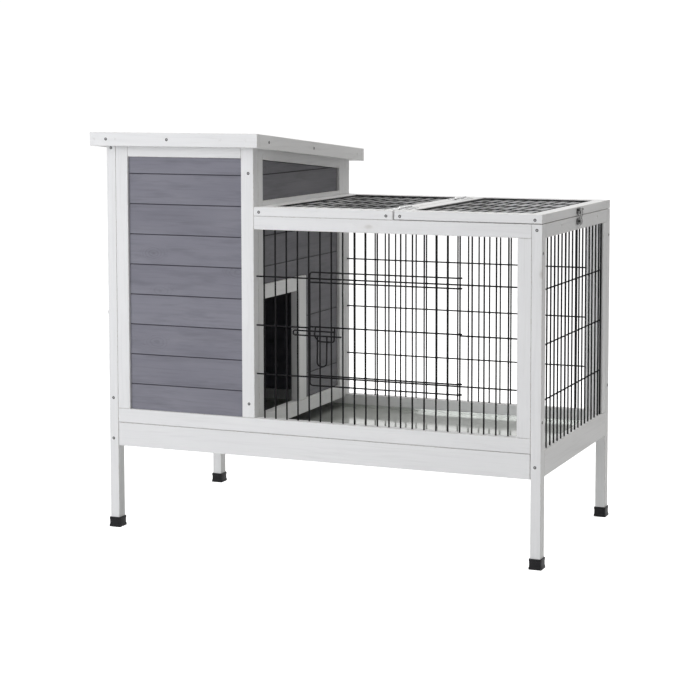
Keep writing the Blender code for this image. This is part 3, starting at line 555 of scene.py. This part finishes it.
AXES = {"x": 0, "y": 1, "z": 2}
TIMBER = {
    "x": ["front_base_rail", "back_base_rail", "tray_front_board", "house_front_rail", "run_front_rail",
          "run_back_rail"],
    "y": ["left_base_rail", "right_base_rail", "house_side_rail", "partition_bottom_rail",
          "partition_middle_rail", "partition_top_rail", "run_side_rail"],
    "z": ["front_left_leg", "front_right_leg", "back_left_leg", "back_right_leg", "front_middle_post",
          "back_middle_post", "house_front_stile", "partition_front_stile", "partition_back_stile",
          "run_front_stile", "run_back_stile", "run_side_stile"],
}


def dress(node, material):
    mesh = NODES[node].data
    mesh.materials.clear()
    mesh.materials.append(material)


def dress_cad_nodes():
    for letter, names in TIMBER.items():
        for number, node in enumerate(names):
            dress(node, white(AXES[letter], number + 1))
    dress("house_front_planks", GREY_X[0])
    dress("house_back_planks", GREY_X[1])
    dress("side_door_planks", GREY_Y[0])
    dress("roof_board", FELT)
    dress("tray_pan", TRAY)


def bar_frame(name, node, normal_axis, long_axis, body, seeds, trim=None):
    """A ring of four bars: two run the full length and two fit between them."""
    low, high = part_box(node)
    if trim:
        low, high = low + Vector(trim[0]), high + Vector(trim[1])
    across = 3 - normal_axis - long_axis
    bm = bmesh.new()

    def bar(axis, far, inset, material):
        """The bar at one end of an axis, shortened by an inset at both of its own ends."""
        a, b = list(low), list(high)
        a[across] += inset
        b[across] -= inset
        if far:
            a[axis] = high[axis] - BAR
        else:
            b[axis] = low[axis] + BAR
        box(bm, a, b, material)

    for far in (False, True):
        bar(across, far, 0.0, 0)
        bar(long_axis, far, BAR + JOINT_GAP, 1)
    piece(name, bm, [white(long_axis, seeds[0]), white(across, seeds[1])], body,
          [node], bevel=SOFT_EDGE)


def timber_frames():
    bar_frame("fixed_top_bars", "fixed_top_frame", 2, 0, "hutch", (11, 12),
              trim=((0, 0, 0), (-SPLIT_TRIM, 0, 0)))
    bar_frame("lid_bars", "lid_frame", 2, 0, "lid", (13, 14), trim=((SPLIT_TRIM, 0, LID_LIFT), (0, 0, 0)))
    bar_frame("side_door_bars", "side_door_frame", 0, 2, "side_door", (15, 16))


def fascia_slope(low, high):
    """How far the boards drop for each metre of depth, from the box round them."""
    return (high.z - low.z - FASCIA_HEIGHT) / (high.y - low.y)


def fascia():
    """Four boards round the roof, following its slope."""
    low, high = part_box("roof_fascia")
    slope = fascia_slope(low, high)
    thick = FASCIA_THICKNESS
    bottom = high.z - FASCIA_HEIGHT
    bm = bmesh.new()
    for y0, y1 in ((low.y, low.y + thick), (high.y - thick, high.y)):
        box(bm, (low.x, y0, bottom), (high.x, y1, high.z), 0)
    for x0, x1 in ((low.x, low.x + thick), (high.x - thick, high.x)):
        box(bm, (x0, low.y + thick + JOINT_GAP, bottom), (x1, high.y - thick - JOINT_GAP, high.z), 1)
    for vert in bm.verts:
        vert.co.z -= slope * (vert.co.y - low.y)
    piece("roof_fascia_boards", bm, [white(0, 17), white(1, 18)], "hutch",
          ["roof_fascia"], bevel=SOFT_EDGE)


def doorway():
    """The doorway's jamb and head as two boards."""
    low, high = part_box("doorway_frame")
    jamb = high.y - DOORWAY_JAMB
    bm = bmesh.new()
    box(bm, (low.x, jamb, low.z), high, 1)
    box(bm, (low.x, low.y, high.z - DOORWAY_HEAD), (high.x, jamb - JOINT_GAP, high.z), 0)
    piece("doorway_boards", bm, [white(1, 19), white(2, 20)], "hutch",
          ["doorway_frame"], bevel=SOFT_EDGE)


def partition_boards():
    """Planks beside and above the doorway. Some seams are left out, as where planks close tight."""
    low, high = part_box("partition_planks")
    door_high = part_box("doorway_frame")[1]
    inner, shelf = door_high.y + DOORWAY_GAP, door_high.z + DOORWAY_GAP
    seams = [SEAM_Z - PLANK_PITCH * k for k in (0, 2, 3, 5, 7)]
    levels = [high.z] + [z for z in seams if low.z < z < high.z] + [low.z]
    bm = bmesh.new()
    for number, (top, bottom) in enumerate(zip(levels, levels[1:])):
        top -= PLANK_GAP
        bottom += PLANK_GAP
        start = inner if top <= door_high.z else low.y
        notched = bottom < door_high.z < top
        points = [(inner if notched else start, bottom), (high.y, bottom), (high.y, top), (start, top)]
        if notched:
            points += [(start, shelf), (inner, shelf)]
        if number == 0:
            points[2] = (high.y, high.z - ROOF_FALL * (high.y - low.y))
        prism(bm, [(low.x, y, z) for y, z in points], X, high.x - low.x)
    piece("partition_boards", bm, GREY_Y[1], "hutch", ["partition_planks"],
          bevel=PLANK_EDGE, segments=1)


# ---------------------------------------------------------------- wire panels

def lattice(bm, columns, rows, column_span, row_span, point, front, share=1.0):
    """Crossing wires: columns run along b and rows along a; point(a, b, depth) gives a place."""
    depth = WELD_DEPTH * share
    for a in columns:
        wire = bowed(point(a, column_span[0], 0), point(a, column_span[1], 0), 0.00022)
        tube(bm, wire, VERTICAL_RADIUS * share)
    for b in rows:
        wire = bowed(point(row_span[0], b, depth), point(row_span[1], b, depth), 0.00018)
        tube(bm, wire, CROSS_RADIUS * share)
    for a in columns:
        for b in rows:
            blob(bm, point(a, b, depth * 0.5), BEAD, front)


def into_wood(low, high):
    """A wire's ends, each a little way into the timber beyond an opening."""
    return low - INTO_WOOD, high + INTO_WOOD


def stepped(first, pitch, low, high):
    """Where a pattern that has one line at first puts its lines between low and high."""
    start = math.ceil((low - first) / pitch)
    stop = math.floor((high - first) / pitch)
    return [first + pitch * n for n in range(start, stop + 1)]


def front_mesh():
    """The front mesh, cut away where the wire door closes its opening."""
    low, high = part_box("run_front_mesh")
    y = (low.y + high.y) / 2
    columns = stepped(ORIGIN.x + FRONT_FIRST, PITCH, low.x + 0.002, high.x - 0.002)
    rows = [FRONT_ROW + FRONT_ROW_PITCH * k for k in range(3)]
    left, right = into_wood(low.x, high.x)
    bottom, top = into_wood(low.z, high.z)
    edge = 0.0012
    bm = bmesh.new()
    for number, x in enumerate(columns):
        spans = [(bottom, top)]
        if DOOR_WIRE < number < HINGE_WIRE:
            spans = [(bottom, rows[0] + edge), (rows[2] - edge, top)]
        for z0, z1 in spans:
            tube(bm, bowed((x, y, z0), (x, y, z1), 0.0002 if len(spans) == 1 else 0.0), VERTICAL_RADIUS)
    for number, z in enumerate(rows):
        spans = [(left, right)]
        if number == 1:
            spans = [(left, columns[DOOR_WIRE] + edge), (columns[HINGE_WIRE] - edge, right)]
        for x0, x1 in spans:
            depth = y + WELD_DEPTH
            tube(bm, bowed((x0, depth, z), (x1, depth, z), 0.00015), CROSS_RADIUS)
            for x in columns:
                if x0 < x < x1:
                    blob(bm, (x, y + WELD_DEPTH / 2, z), BEAD)
    piece("run_front_wires", bm, WIRE, "hutch", ["run_front_mesh"])
    return columns, rows, y


def other_meshes():
    """The meshes at the back, at the side and in the two halves of the run's top."""
    low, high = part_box("run_back_mesh")
    y = (low.y + high.y) / 2
    rows = [BACK_ROW + BACK_ROW_PITCH * k for k in range(3)]
    columns = stepped(ORIGIN.x + FRONT_FIRST, PITCH, low.x + 0.002, high.x - 0.002)
    bm = bmesh.new()
    lattice(bm, columns, rows, into_wood(low.z, high.z), into_wood(low.x, high.x),
            lambda a, b, d: Vector((a, y - d, b)), Y)
    piece("run_back_wires", bm, WIRE, "hutch", ["run_back_mesh"])

    low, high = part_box("run_side_mesh")
    x = (low.x + high.x) / 2
    columns = stepped(ORIGIN.y + SIDE_FIRST, PITCH, low.y + 0.004, high.y - 0.001)
    bm = bmesh.new()
    lattice(bm, columns, rows, into_wood(low.z, high.z), into_wood(low.y, high.y),
            lambda a, b, d: Vector((x - d, a, b)), X)
    last = high.y - EDGE_WIRE_RADIUS
    tube(bm, [(x, last, end) for end in into_wood(low.z, high.z)], EDGE_WIRE_RADIUS)
    piece("run_side_wires", bm, WIRE, "hutch", ["run_side_mesh"])

    for node, body, name in (("fixed_top_mesh", "hutch", "fixed_top_wires"),
                             ("lid_mesh", "lid", "lid_wires")):
        low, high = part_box(node)
        z = (low.z + high.z) / 2
        columns = stepped(low.x + TOP_FIRST, PITCH, low.x + 0.002, high.x - 0.002)
        cross = stepped(ORIGIN.y + TOP_CROSS_FIRST, TOP_CROSS_PITCH, low.y + 0.003, high.y - 0.003)
        across, along_depth = into_wood(low.x, high.x), into_wood(low.y, high.y)
        bm = bmesh.new()
        lattice(bm, columns, cross, along_depth, across, lambda a, b, d: Vector((a, b, z - d)), Z,
                TOP_WIRE_SHARE)
        side, rear = low.x + TOP_EDGE_RADIUS, high.y - TOP_EDGE_RADIUS
        tube(bm, [(side, end, z) for end in along_depth], TOP_EDGE_RADIUS)
        tube(bm, [(end, rear, z) for end in across], TOP_EDGE_RADIUS)
        piece(name, bm, WIRE, body, [node])


def wire_door(columns, rows, mesh_y):
    """The door: one bent outer wire whose ends hook round a mesh wire, with bars welded to it."""
    left = columns[DOOR_WIRE] + DOOR_LEFT_SHIFT
    pivot = columns[HINGE_WIRE]
    reach = VERTICAL_RADIUS + CROSS_RADIUS + HOOK_CLEARANCE
    y = mesh_y - reach
    top, bottom = rows[2] + 0.01275, rows[0] - 0.0150
    bars = (rows[0] + 0.0045, rows[1] + DOOR_BAR_RISE, rows[2] - 0.0065)

    def hook(z):
        """A wire's end, bent round the upright that the door turns on."""
        turns = [-math.pi / 2 + math.radians(HOOK_TURN) * k / 12 for k in range(1, 13)]
        return [(pivot + reach * math.cos(a), mesh_y + reach * math.sin(a), z) for a in turns]

    bm = bmesh.new()
    corner = rounded([(pivot, y, top), (left, y, top), (left, y, bottom), (pivot, y, bottom)], 0.006)
    tube(bm, hook(top)[::-1] + corner + hook(bottom), CROSS_RADIUS)
    for z in bars:
        straight = [(left + (pivot - left) * k / 4, y, z) for k in range(5)]
        tube(bm, straight + hook(z), CROSS_RADIUS)
        blob(bm, (left, y, z), 0.0013)
    front = y - WELD_DEPTH
    for x in columns[DOOR_WIRE + 1:HINGE_WIRE]:
        x += DOOR_BAR_SHIFT
        tube(bm, bowed((x, front, bottom - 0.0015), (x, front, top + 0.0015), 0.00015), CROSS_RADIUS)
        for z in (bottom, *bars, top):
            blob(bm, (x, y - WELD_DEPTH / 2, z), 0.0012)
    piece("wire_door_bars", bm, WIRE, "wire_door", ["wire_door"])
    return front


def wire_door_bolt(front, rows):
    """A hairpin that slides along the door, with a loop over the middle bar and a hanging pull."""
    y = front - 2 * CROSS_RADIUS - BOLT_CLEARANCE
    low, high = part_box("wire_door_bolt")
    tip = low.x + 0.0012
    upper = high.z - 0.001
    lower = upper - 0.0088
    end = high.x - 0.001
    bm = bmesh.new()
    turn = tip + 0.060
    path = rounded([(end, y, lower), (tip, y, lower), (tip, y, upper), (turn, y, upper)], 0.0042, 6)
    tube(bm, path, CROSS_RADIUS)
    blob(bm, (end, y, lower), 0.0016)
    loop_left, loop_right = tip + 0.0445, tip + 0.0860
    loop_top = rows[1] + DOOR_BAR_RISE
    loop_low = lower - 0.0105
    loop = rounded([(loop_left + 0.002, y, loop_top), (loop_left - 0.0005, y, lower),
                    (loop_left + 0.0085, y, loop_low), (loop_right - 0.0015, y, loop_low),
                    (loop_right, y, loop_top)], 0.0045)
    tube(bm, loop, CROSS_RADIUS)
    tube(bm, [(turn, y, upper), (loop_right, y, upper)], CROSS_RADIUS)
    grip_left = tip + 0.0500
    grip_right = grip_left + 0.0195
    grip_low = low.z + 0.001
    grip = [(grip_left + 0.0008, y - 0.0006, lower), (grip_left, y - 0.0008, grip_low),
            (grip_right, y - 0.0008, grip_low), (grip_right + 0.0008, y - 0.0006, lower)]
    tube(bm, rounded(grip, 0.0095, 8), CROSS_RADIUS)
    for x, z in ((grip_left + 0.0008, lower), (grip_right + 0.0008, lower), (loop_left, lower),
                 (loop_right, upper), (loop_left + 0.0012, upper)):
        blob(bm, (x, y, z), 0.0014)
    piece("wire_door_bolt_wire", bm, WIRE, "bolt", ["wire_door_bolt"])


# ---------------------------------------------------------------- fittings

def screw(bm, centre, normal, radius=0.0029):
    """A cross-head screw, its head nearly flush."""
    normal = Vector(normal)
    spin = dice.uniform(0, math.pi / 2)
    side = normal.orthogonal().normalized()
    other = normal.cross(side)
    quarter = ((-11, 0.62), (11, 0.62), (28, 0.32), (45, 0.22), (62, 0.32))
    angles = [(math.radians(a + 90 * q) + spin, r) for q in range(4) for a, r in quarter]

    def ring(size, height, cross=0.0):
        """Corners round the head, or along the cross's outline when its size is given."""
        corners = []
        for angle, share in angles:
            r = radius * (share * cross if cross else size)
            outward = side * math.cos(angle) + other * math.sin(angle)
            corners.append(bm.verts.new(Vector(centre) + outward * r + normal * height))
        return corners

    rings = [ring(0.90, -0.0006), ring(1.0, 0.0001), ring(0.93, 0.00028), ring(0.72, 0.00042),
             ring(0, 0.00045, 1.0), ring(0, -0.0006, 0.55)]
    skin(bm, rings)
    bm.faces.new(rings[0])
    bm.faces.new(rings[-1])


def screws():
    """Screws by the body they ride on; positions are from the frame's outer front left corner."""
    front, right, left, back = -Y, X, -X, Y
    low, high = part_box("roof_fascia")
    slope = fascia_slope(low, high)
    leg_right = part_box("front_right_leg")[0].x - ORIGIN.x
    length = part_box("front_right_leg")[1].x - ORIGIN.x
    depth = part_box("back_left_leg")[1].y - ORIGIN.y
    groups = {}

    def add(group, point, normal):
        groups.setdefault(group, []).append((point, normal))

    for y, normal, leg_top, post_top in ((0.0, front, 0.756, 0.7108), (depth, back, 0.719, 0.690)):
        for x, z in ((0.010, leg_top), (0.009, 0.179), (0.0095, 0.260), (leg_right + 0.0097, 0.619),
                     (leg_right + 0.0085, 0.188), (0.3097, post_top), (0.3087, 0.267)):
            add(("hutch", "steel"), place(x, y, z), normal)
        add(("hutch", "steel"), place(0.3315, y, 0.6375), normal)
        add(("hutch", "steel"), place(0.5928, y, 0.6372), normal)
        add(("lid", "steel"), place(0.6202, y, 0.6372), normal)
        add(("lid", "steel"), place(0.8809, y, 0.6372), normal)
    for y in (0.0065, depth - 0.0075):
        for z in (0.577, 0.270):
            add(("hutch", "steel"), place(length, y, z), right)
        for z in (0.640, 0.275):
            add(("hutch", "steel"), place(0.0, y, z), left)
    mid = high.z - FASCIA_HEIGHT / 2
    for dx, kind in ((-0.011, "painted"), (0.016, "steel"), (0.036, "painted"), (0.150, "steel"),
                     (0.264, "painted"), (0.318, "painted")):
        add(("hutch", kind), Vector((ORIGIN.x + dx, low.y, mid)), front)
        add(("hutch", kind), Vector((ORIGIN.x + dx, high.y, mid - slope * (high.y - low.y))), back)
    for share in (0.10, 0.50, 0.93):
        y = low.y + (high.y - low.y) * share
        z = mid - slope * (y - low.y)
        kind = "painted" if share > 0.9 else "steel"
        add(("hutch", kind), Vector((high.x, y, z)), right)
        add(("hutch", kind), Vector((low.x, y, z)), left)
    rail_low, rail_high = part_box("run_side_rail")
    for share in (0.24, 0.83):
        y = rail_low.y + (rail_high.y - rail_low.y) * share
        add(("hutch", "painted"), Vector((rail_high.x, y, rail_low.z + 0.016)), right)
    door_low, door_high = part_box("side_door_frame")
    for y in (door_low.y + 0.013, door_high.y - 0.013):
        for z in (door_low.z + 0.013, door_high.z - 0.013):
            add(("side_door", "steel"), Vector((door_low.x, y, z)), left)
    for (body, kind), places in groups.items():
        bm = bmesh.new()
        for point, normal in places:
            screw(bm, point + normal * 0.0001, normal, 0.0029 if kind == "steel" else 0.0025)
        name = f"{body}_{kind}_screws"
        if kind == "steel":
            piece(name, bm, SCREW_METAL, body)
        else:
            piece(name, bm, white(2, 30), body)


def leaf_outline(side, height, width, root, corner=0.006, waist=0.005):
    """Half of a hinge as seen flat: two round lobes with a waist between them."""
    half = height / 2
    points = [(root, -half)]
    for centre, angles in ((-half + corner, range(-90, 1, 15)), (half - corner, range(0, 91, 15))):
        for a in angles:
            t = math.radians(a)
            points.append((width - corner + corner * math.cos(t), centre + corner * math.sin(t)))
        if centre < 0:
            for a in range(-75, 76, 15):
                t = math.radians(a)
                points.append((width - waist * math.cos(t), waist * 1.15 * math.sin(t)))
    points.append((root, half))
    return [(side * u, v) for u, v in points]


def hinge(prefix, centre, across, out, fixed_body, moving_body):
    """A two-lobed surface hinge: across points from the fixed to the moving leaf, out is its face."""
    centre, across, out = Vector(centre), Vector(across), Vector(out)
    line = out.cross(across)
    height, width, sheet, barrel = 0.060, 0.0185, 0.0012, 0.0026
    half = height / 2
    third = height / 6
    outer_knuckles = ((-half, -third - 0.0003), (third + 0.0003, half))
    for side, body, spans, suffix in ((-1, fixed_body, outer_knuckles, "fixed_leaf"),
                                      (1, moving_body, ((-third, third),), "moving_leaf")):
        bm = bmesh.new()
        outline = leaf_outline(side, height, width, barrel + 0.0003)
        prism(bm, [centre + across * u + line * v - out * barrel for u, v in outline], out, sheet)
        for low, high in spans:
            strip = [(side * (barrel + 0.0009), low), (side * (barrel + 0.0009), high),
                     (side * 0.0010, high), (side * 0.0010, low)]
            prism(bm, [centre + across * u + line * v - out * barrel for u, v in strip], out, sheet)
            ends = [centre + line * (low + 0.0004), centre + line * (high - 0.0004)]
            tube(bm, ends, barrel, 16)
        if side < 0:
            tube(bm, [centre + line * (-half - 0.0004), centre + line * (half + 0.0004)], 0.0015, 12)
            for end in (-1, 1):
                blob(bm, centre + line * (half + 0.0003) * end, 0.0021, line, 0.45)
        piece(f"{prefix}_{suffix}_plate", bm, HINGE_METAL, body, [f"{prefix}_{suffix}"],
              bevel=0.00025, segments=1)
        bm = bmesh.new()
        lifted = out * (sheet - barrel + 0.0001)
        for v in (-0.0175, 0.0175):
            screw(bm, centre + across * side * 0.0105 + line * v + lifted, out, 0.0030)
        piece(f"{prefix}_{suffix}_screws", bm, SCREW_METAL, body)


def hinges():
    pivot = Vector(JOINTS["lid_hinge"]["pos_m"])
    for end in ("front", "back"):
        low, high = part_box(f"lid_{end}_hinge_fixed_leaf")
        hinge(f"lid_{end}_hinge", (pivot.x, (low.y + high.y) / 2, pivot.z), X, Z, "hutch", "lid")
    pivot = Vector(JOINTS["side_door_hinge"]["pos_m"])
    for end in ("lower", "upper"):
        low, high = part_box(f"side_door_{end}_hinge_fixed_leaf")
        centre = (pivot.x, pivot.y, (low.z + high.z) / 2)
        hinge(f"side_door_{end}_hinge", centre, -Y, -X, "hutch", "side_door")


def rounded_plate(bm, centre, across, up, out, width, height, corner, sheet):
    """A flat plate with round corners, its back on the centre."""
    outline = []
    for sx, sy, angles in corner_arcs(15):
        for t in angles:
            u = sx * (width / 2 - corner) + corner * math.cos(t)
            v = sy * (height / 2 - corner) + corner * math.sin(t)
            outline.append(Vector(centre) + across * u + up * v)
    prism(bm, outline, out, sheet)


def hasp():
    """Two dark plates on the run's right side, joined by a sprung wire hook."""
    low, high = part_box("hasp_plate")
    middle = (low.y + high.y) / 2
    face = low.x
    sheet = high.x - low.x
    bm = bmesh.new()
    rounded_plate(bm, (face, middle, (low.z + high.z) / 2), Y, Z, X, *HASP_PLATE, sheet)
    for side in (-1, 1):
        tube(bm, [(face + 0.0040, middle + side * 0.0090, high.z - 0.0026),
                  (face + 0.0040, middle + side * 0.0125, high.z - 0.0026)], 0.0025, 14)
    piece("hasp_upper_plate", bm, LATCH_METAL, "lid", ["hasp_plate"], bevel=0.0003,
          segments=1)
    bm = bmesh.new()
    for side in (-1, 1):
        screw(bm, (face + sheet, middle + side * 0.0098, low.z + 0.0042), X, 0.0021)
    piece("hasp_upper_screws", bm, SCREW_METAL, "lid")

    low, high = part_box("hasp_catch")
    bm = bmesh.new()
    rounded_plate(bm, (face, middle, (low.z + high.z) / 2), Y, Z, X, *HASP_PLATE, sheet)
    knob = Vector((face + sheet, middle, (low.z + high.z) / 2))
    tube(bm, [knob, knob + X * 0.0012], 0.0022, 14)
    blob(bm, knob + X * 0.0013, 0.0030, X, 0.35)
    piece("hasp_lower_plate", bm, LATCH_METAL, "hutch", ["hasp_catch"], bevel=0.0003,
          segments=1)
    bm = bmesh.new()
    for side in (-1, 1):
        screw(bm, (face + sheet, middle + side * 0.0098, (low.z + high.z) / 2), X, 0.0021)
    piece("hasp_lower_screws", bm, SCREW_METAL, "hutch")

    pivot = Vector(JOINTS["hasp_swing"]["pos_m"])
    strap_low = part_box("hasp_strap")[0]
    bm = bmesh.new()
    half = 0.0052
    wire = 0.0011
    shape = [(0.0, 0.0), (0.0030, 0.006), (0.0005, 0.0155), (0.0022, 0.0235)]
    tip = (pivot.x + 0.0006, half * 0.7, strap_low.z + 0.001)
    legs = [(pivot.x + out, half, pivot.z - down) for out, down in shape] + [tip]
    path = [(x, middle - y, z) for x, y, z in legs] + [(x, middle + y, z) for x, y, z in legs[::-1]]
    tube(bm, rounded(path, 0.0045, 6), wire, 12)
    tube(bm, [(pivot.x, middle - 0.0085, pivot.z), (pivot.x, middle + 0.0085, pivot.z)], 0.0017, 14)
    piece("hasp_hook_wire", bm, HOOK_METAL, "hasp", ["hasp_strap"])


def side_latch():
    """The side door's hook, and on the leg the two-lobed plate with its eye."""
    pivot = Vector(JOINTS["side_door_hook_swing"]["pos_m"])
    low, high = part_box("side_door_hook")
    bm = bmesh.new()
    wire = 0.0015
    ring = 0.0042
    x = pivot.x - HOOK_STANDOFF
    tube(bm, circle((x, pivot.y, pivot.z), ring, 18), wire, 10, closed=True)
    shank = [(x, pivot.y, pivot.z - ring), (x, pivot.y, low.z + 0.006),
             (x, pivot.y - 0.001, low.z + 0.0018), (x - 0.0045, pivot.y - 0.001, low.z + 0.0022)]
    tube(bm, rounded(shank, 0.004), wire, 12)
    screw(bm, (x - 0.0012, pivot.y, pivot.z), -X, 0.0034)
    tube(bm, [(x - 0.001, pivot.y, pivot.z), (x + HOOK_STANDOFF, pivot.y, pivot.z)], 0.0019, 12)
    piece("side_door_hook_wire", bm, PALE_METAL, "hook", ["side_door_hook"])

    low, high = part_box("side_door_eye")
    centre = (low + high) / 2
    face = high.x
    eye, eye_x, eye_wire = 0.0036, face - 0.0052, 0.0012
    bm = bmesh.new()
    rounded_plate(bm, (face, centre.y, centre.z), Y, Z, -X, *EYE_PLATE)
    tube(bm, circle((eye_x, centre.y, centre.z), eye, 16), eye_wire, 10, closed=True)
    tube(bm, [(x, centre.y, centre.z + eye) for x in (face - 0.0008, eye_x)], eye_wire, 10)
    piece("side_door_eye_plate", bm, PALE_METAL, "hutch", ["side_door_eye"],
          bevel=0.0003, segments=1)
    bm = bmesh.new()
    for z in (-0.020, 0.020):
        screw(bm, (face - 0.0013, centre.y, centre.z + z), -X, 0.0028)
    piece("side_door_eye_screws", bm, PALE_METAL, "hutch")


def feet():
    """Moulded caps: slightly flared, with a rolled lip and a relief band."""
    radius = 0.0022
    profile = ((-0.0030, 0.0), (-0.0002, 0.0), (0.0, 0.0012), (-0.0004, 0.0050), (-0.0009, 0.0052),
               (-0.0010, 0.0148), (-0.0005, 0.0150), (-0.0005, 0.0192), (-0.0013, 0.0200),
               (-0.0021, 0.0200), (-0.0023, 0.0190), (-0.0023, 0.0042))
    for corner in ("front_left", "front_right", "back_left", "back_right"):
        low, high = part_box(f"{corner}_foot")
        bm = bmesh.new()
        rings = []
        for grow, z in profile:
            outline = []
            for sx, sy, angles in corner_arcs(30):
                cx = (high.x if sx > 0 else low.x) - sx * radius + sx * grow
                cy = (high.y if sy > 0 else low.y) - sy * radius + sy * grow
                for t in angles:
                    outline.append((cx + radius * math.cos(t), cy + radius * math.sin(t), low.z + z))
            rings.append([bm.verts.new(p) for p in outline])
        skin(bm, rings)
        bm.faces.new(rings[0])
        bm.faces.new(rings[-1])
        piece(f"{corner}_foot_cap", bm, PLASTIC, "hutch", [f"{corner}_foot"])


# ---------------------------------------------------------------- stage

def seen_or_not(tree, seen, unseen, output):
    """Show one shader to the camera and to mirror-like rays, and light the object with the other."""
    path = tree.nodes.new("ShaderNodeLightPath")
    either = tree.nodes.new("ShaderNodeMath")
    either.operation = "MAXIMUM"
    tree.links.new(path.outputs["Is Camera Ray"], either.inputs[0])
    tree.links.new(path.outputs["Is Glossy Ray"], either.inputs[1])
    mixer = tree.nodes.new("ShaderNodeMixShader")
    tree.links.new(either.outputs[0], mixer.inputs[0])
    tree.links.new(unseen, mixer.inputs[1])
    tree.links.new(seen, mixer.inputs[2])
    tree.links.new(mixer.outputs[0], output)


def floor():
    """A wide white floor that glows to the camera and to mirror-like rays."""
    mesh = bpy.data.meshes.new("floor")
    bm = bmesh.new()
    bmesh.ops.create_grid(bm, x_segments=8, y_segments=8, size=FLOOR_REACH)
    bm.to_mesh(mesh)
    bm.free()
    made = bpy.data.objects.new("floor", mesh)
    bpy.context.scene.collection.objects.link(made)
    g = Graph("floor_white")
    g.finish(Base_Color=grey(FLOOR_SHADE), Roughness=0.9)
    glow = g.tree.nodes.new("ShaderNodeEmission")
    glow.inputs["Strength"].default_value = FLOOR_GLOW
    both = g.tree.nodes.new("ShaderNodeAddShader")
    g.tree.links.new(glow.outputs[0], both.inputs[0])
    g.tree.links.new(g.shader.outputs[0], both.inputs[1])
    surface = g.tree.nodes["Material Output"].inputs["Surface"]
    seen_or_not(g.tree, both.outputs[0], g.shader.outputs[0], surface)
    mesh.materials.append(g.material)


def light():
    """A dim world that looks white to those same rays, and the area lamps."""
    world = bpy.data.worlds.new("studio")
    bpy.context.scene.world = world
    world.use_nodes = True
    tree = world.node_tree
    background = tree.nodes["Background"]
    background.inputs["Color"].default_value = grey(1.0)
    background.inputs["Strength"].default_value = WORLD_STRENGTH
    seen = tree.nodes.new("ShaderNodeBackground")
    seen.inputs["Color"].default_value = grey(1.0)
    seen.inputs["Strength"].default_value = 1.05
    seen_or_not(tree, seen.outputs[0], background.outputs[0], tree.nodes["World Output"].inputs["Surface"])

    centre = (cad_low + cad_high) / 2
    for name, offset, size, power, colour in LIGHTS:
        data = bpy.data.lights.new(name, "AREA")
        data.shape = "RECTANGLE"
        data.size, data.size_y = size
        data.energy = power
        data.color = colour
        lamp = bpy.data.objects.new(name, data)
        bpy.context.scene.collection.objects.link(lamp)
        lamp.location = centre + Vector(offset)
        lamp.visible_glossy = name != "back"
        lamp.rotation_euler = (centre - lamp.location).to_track_quat("-Z", "Y").to_euler()


def camera():
    data = bpy.data.cameras.new("camera")
    data.sensor_width = 36.0
    data.lens = CAMERA_LENS
    data.shift_x, data.shift_y = CAMERA_SHIFT
    data.clip_end = 60.0
    made = bpy.data.objects.new("camera", data)
    made.location = CAMERA_AT
    made.rotation_euler = (math.pi / 2 - CAMERA_PITCH, 0.0, CAMERA_YAW)
    bpy.context.scene.collection.objects.link(made)
    bpy.context.scene.camera = made


def main():
    bpy.context.scene.view_settings.view_transform = "Standard"
    bpy.context.scene.view_settings.look = "None"
    dress_cad_nodes()
    timber_frames()
    fascia()
    doorway()
    partition_boards()
    columns, rows, mesh_y = front_mesh()
    other_meshes()
    front = wire_door(columns, rows, mesh_y)
    wire_door_bolt(front, rows)
    screws()
    hinges()
    hasp()
    side_latch()
    feet()
    floor()
    light()
    camera()


main()
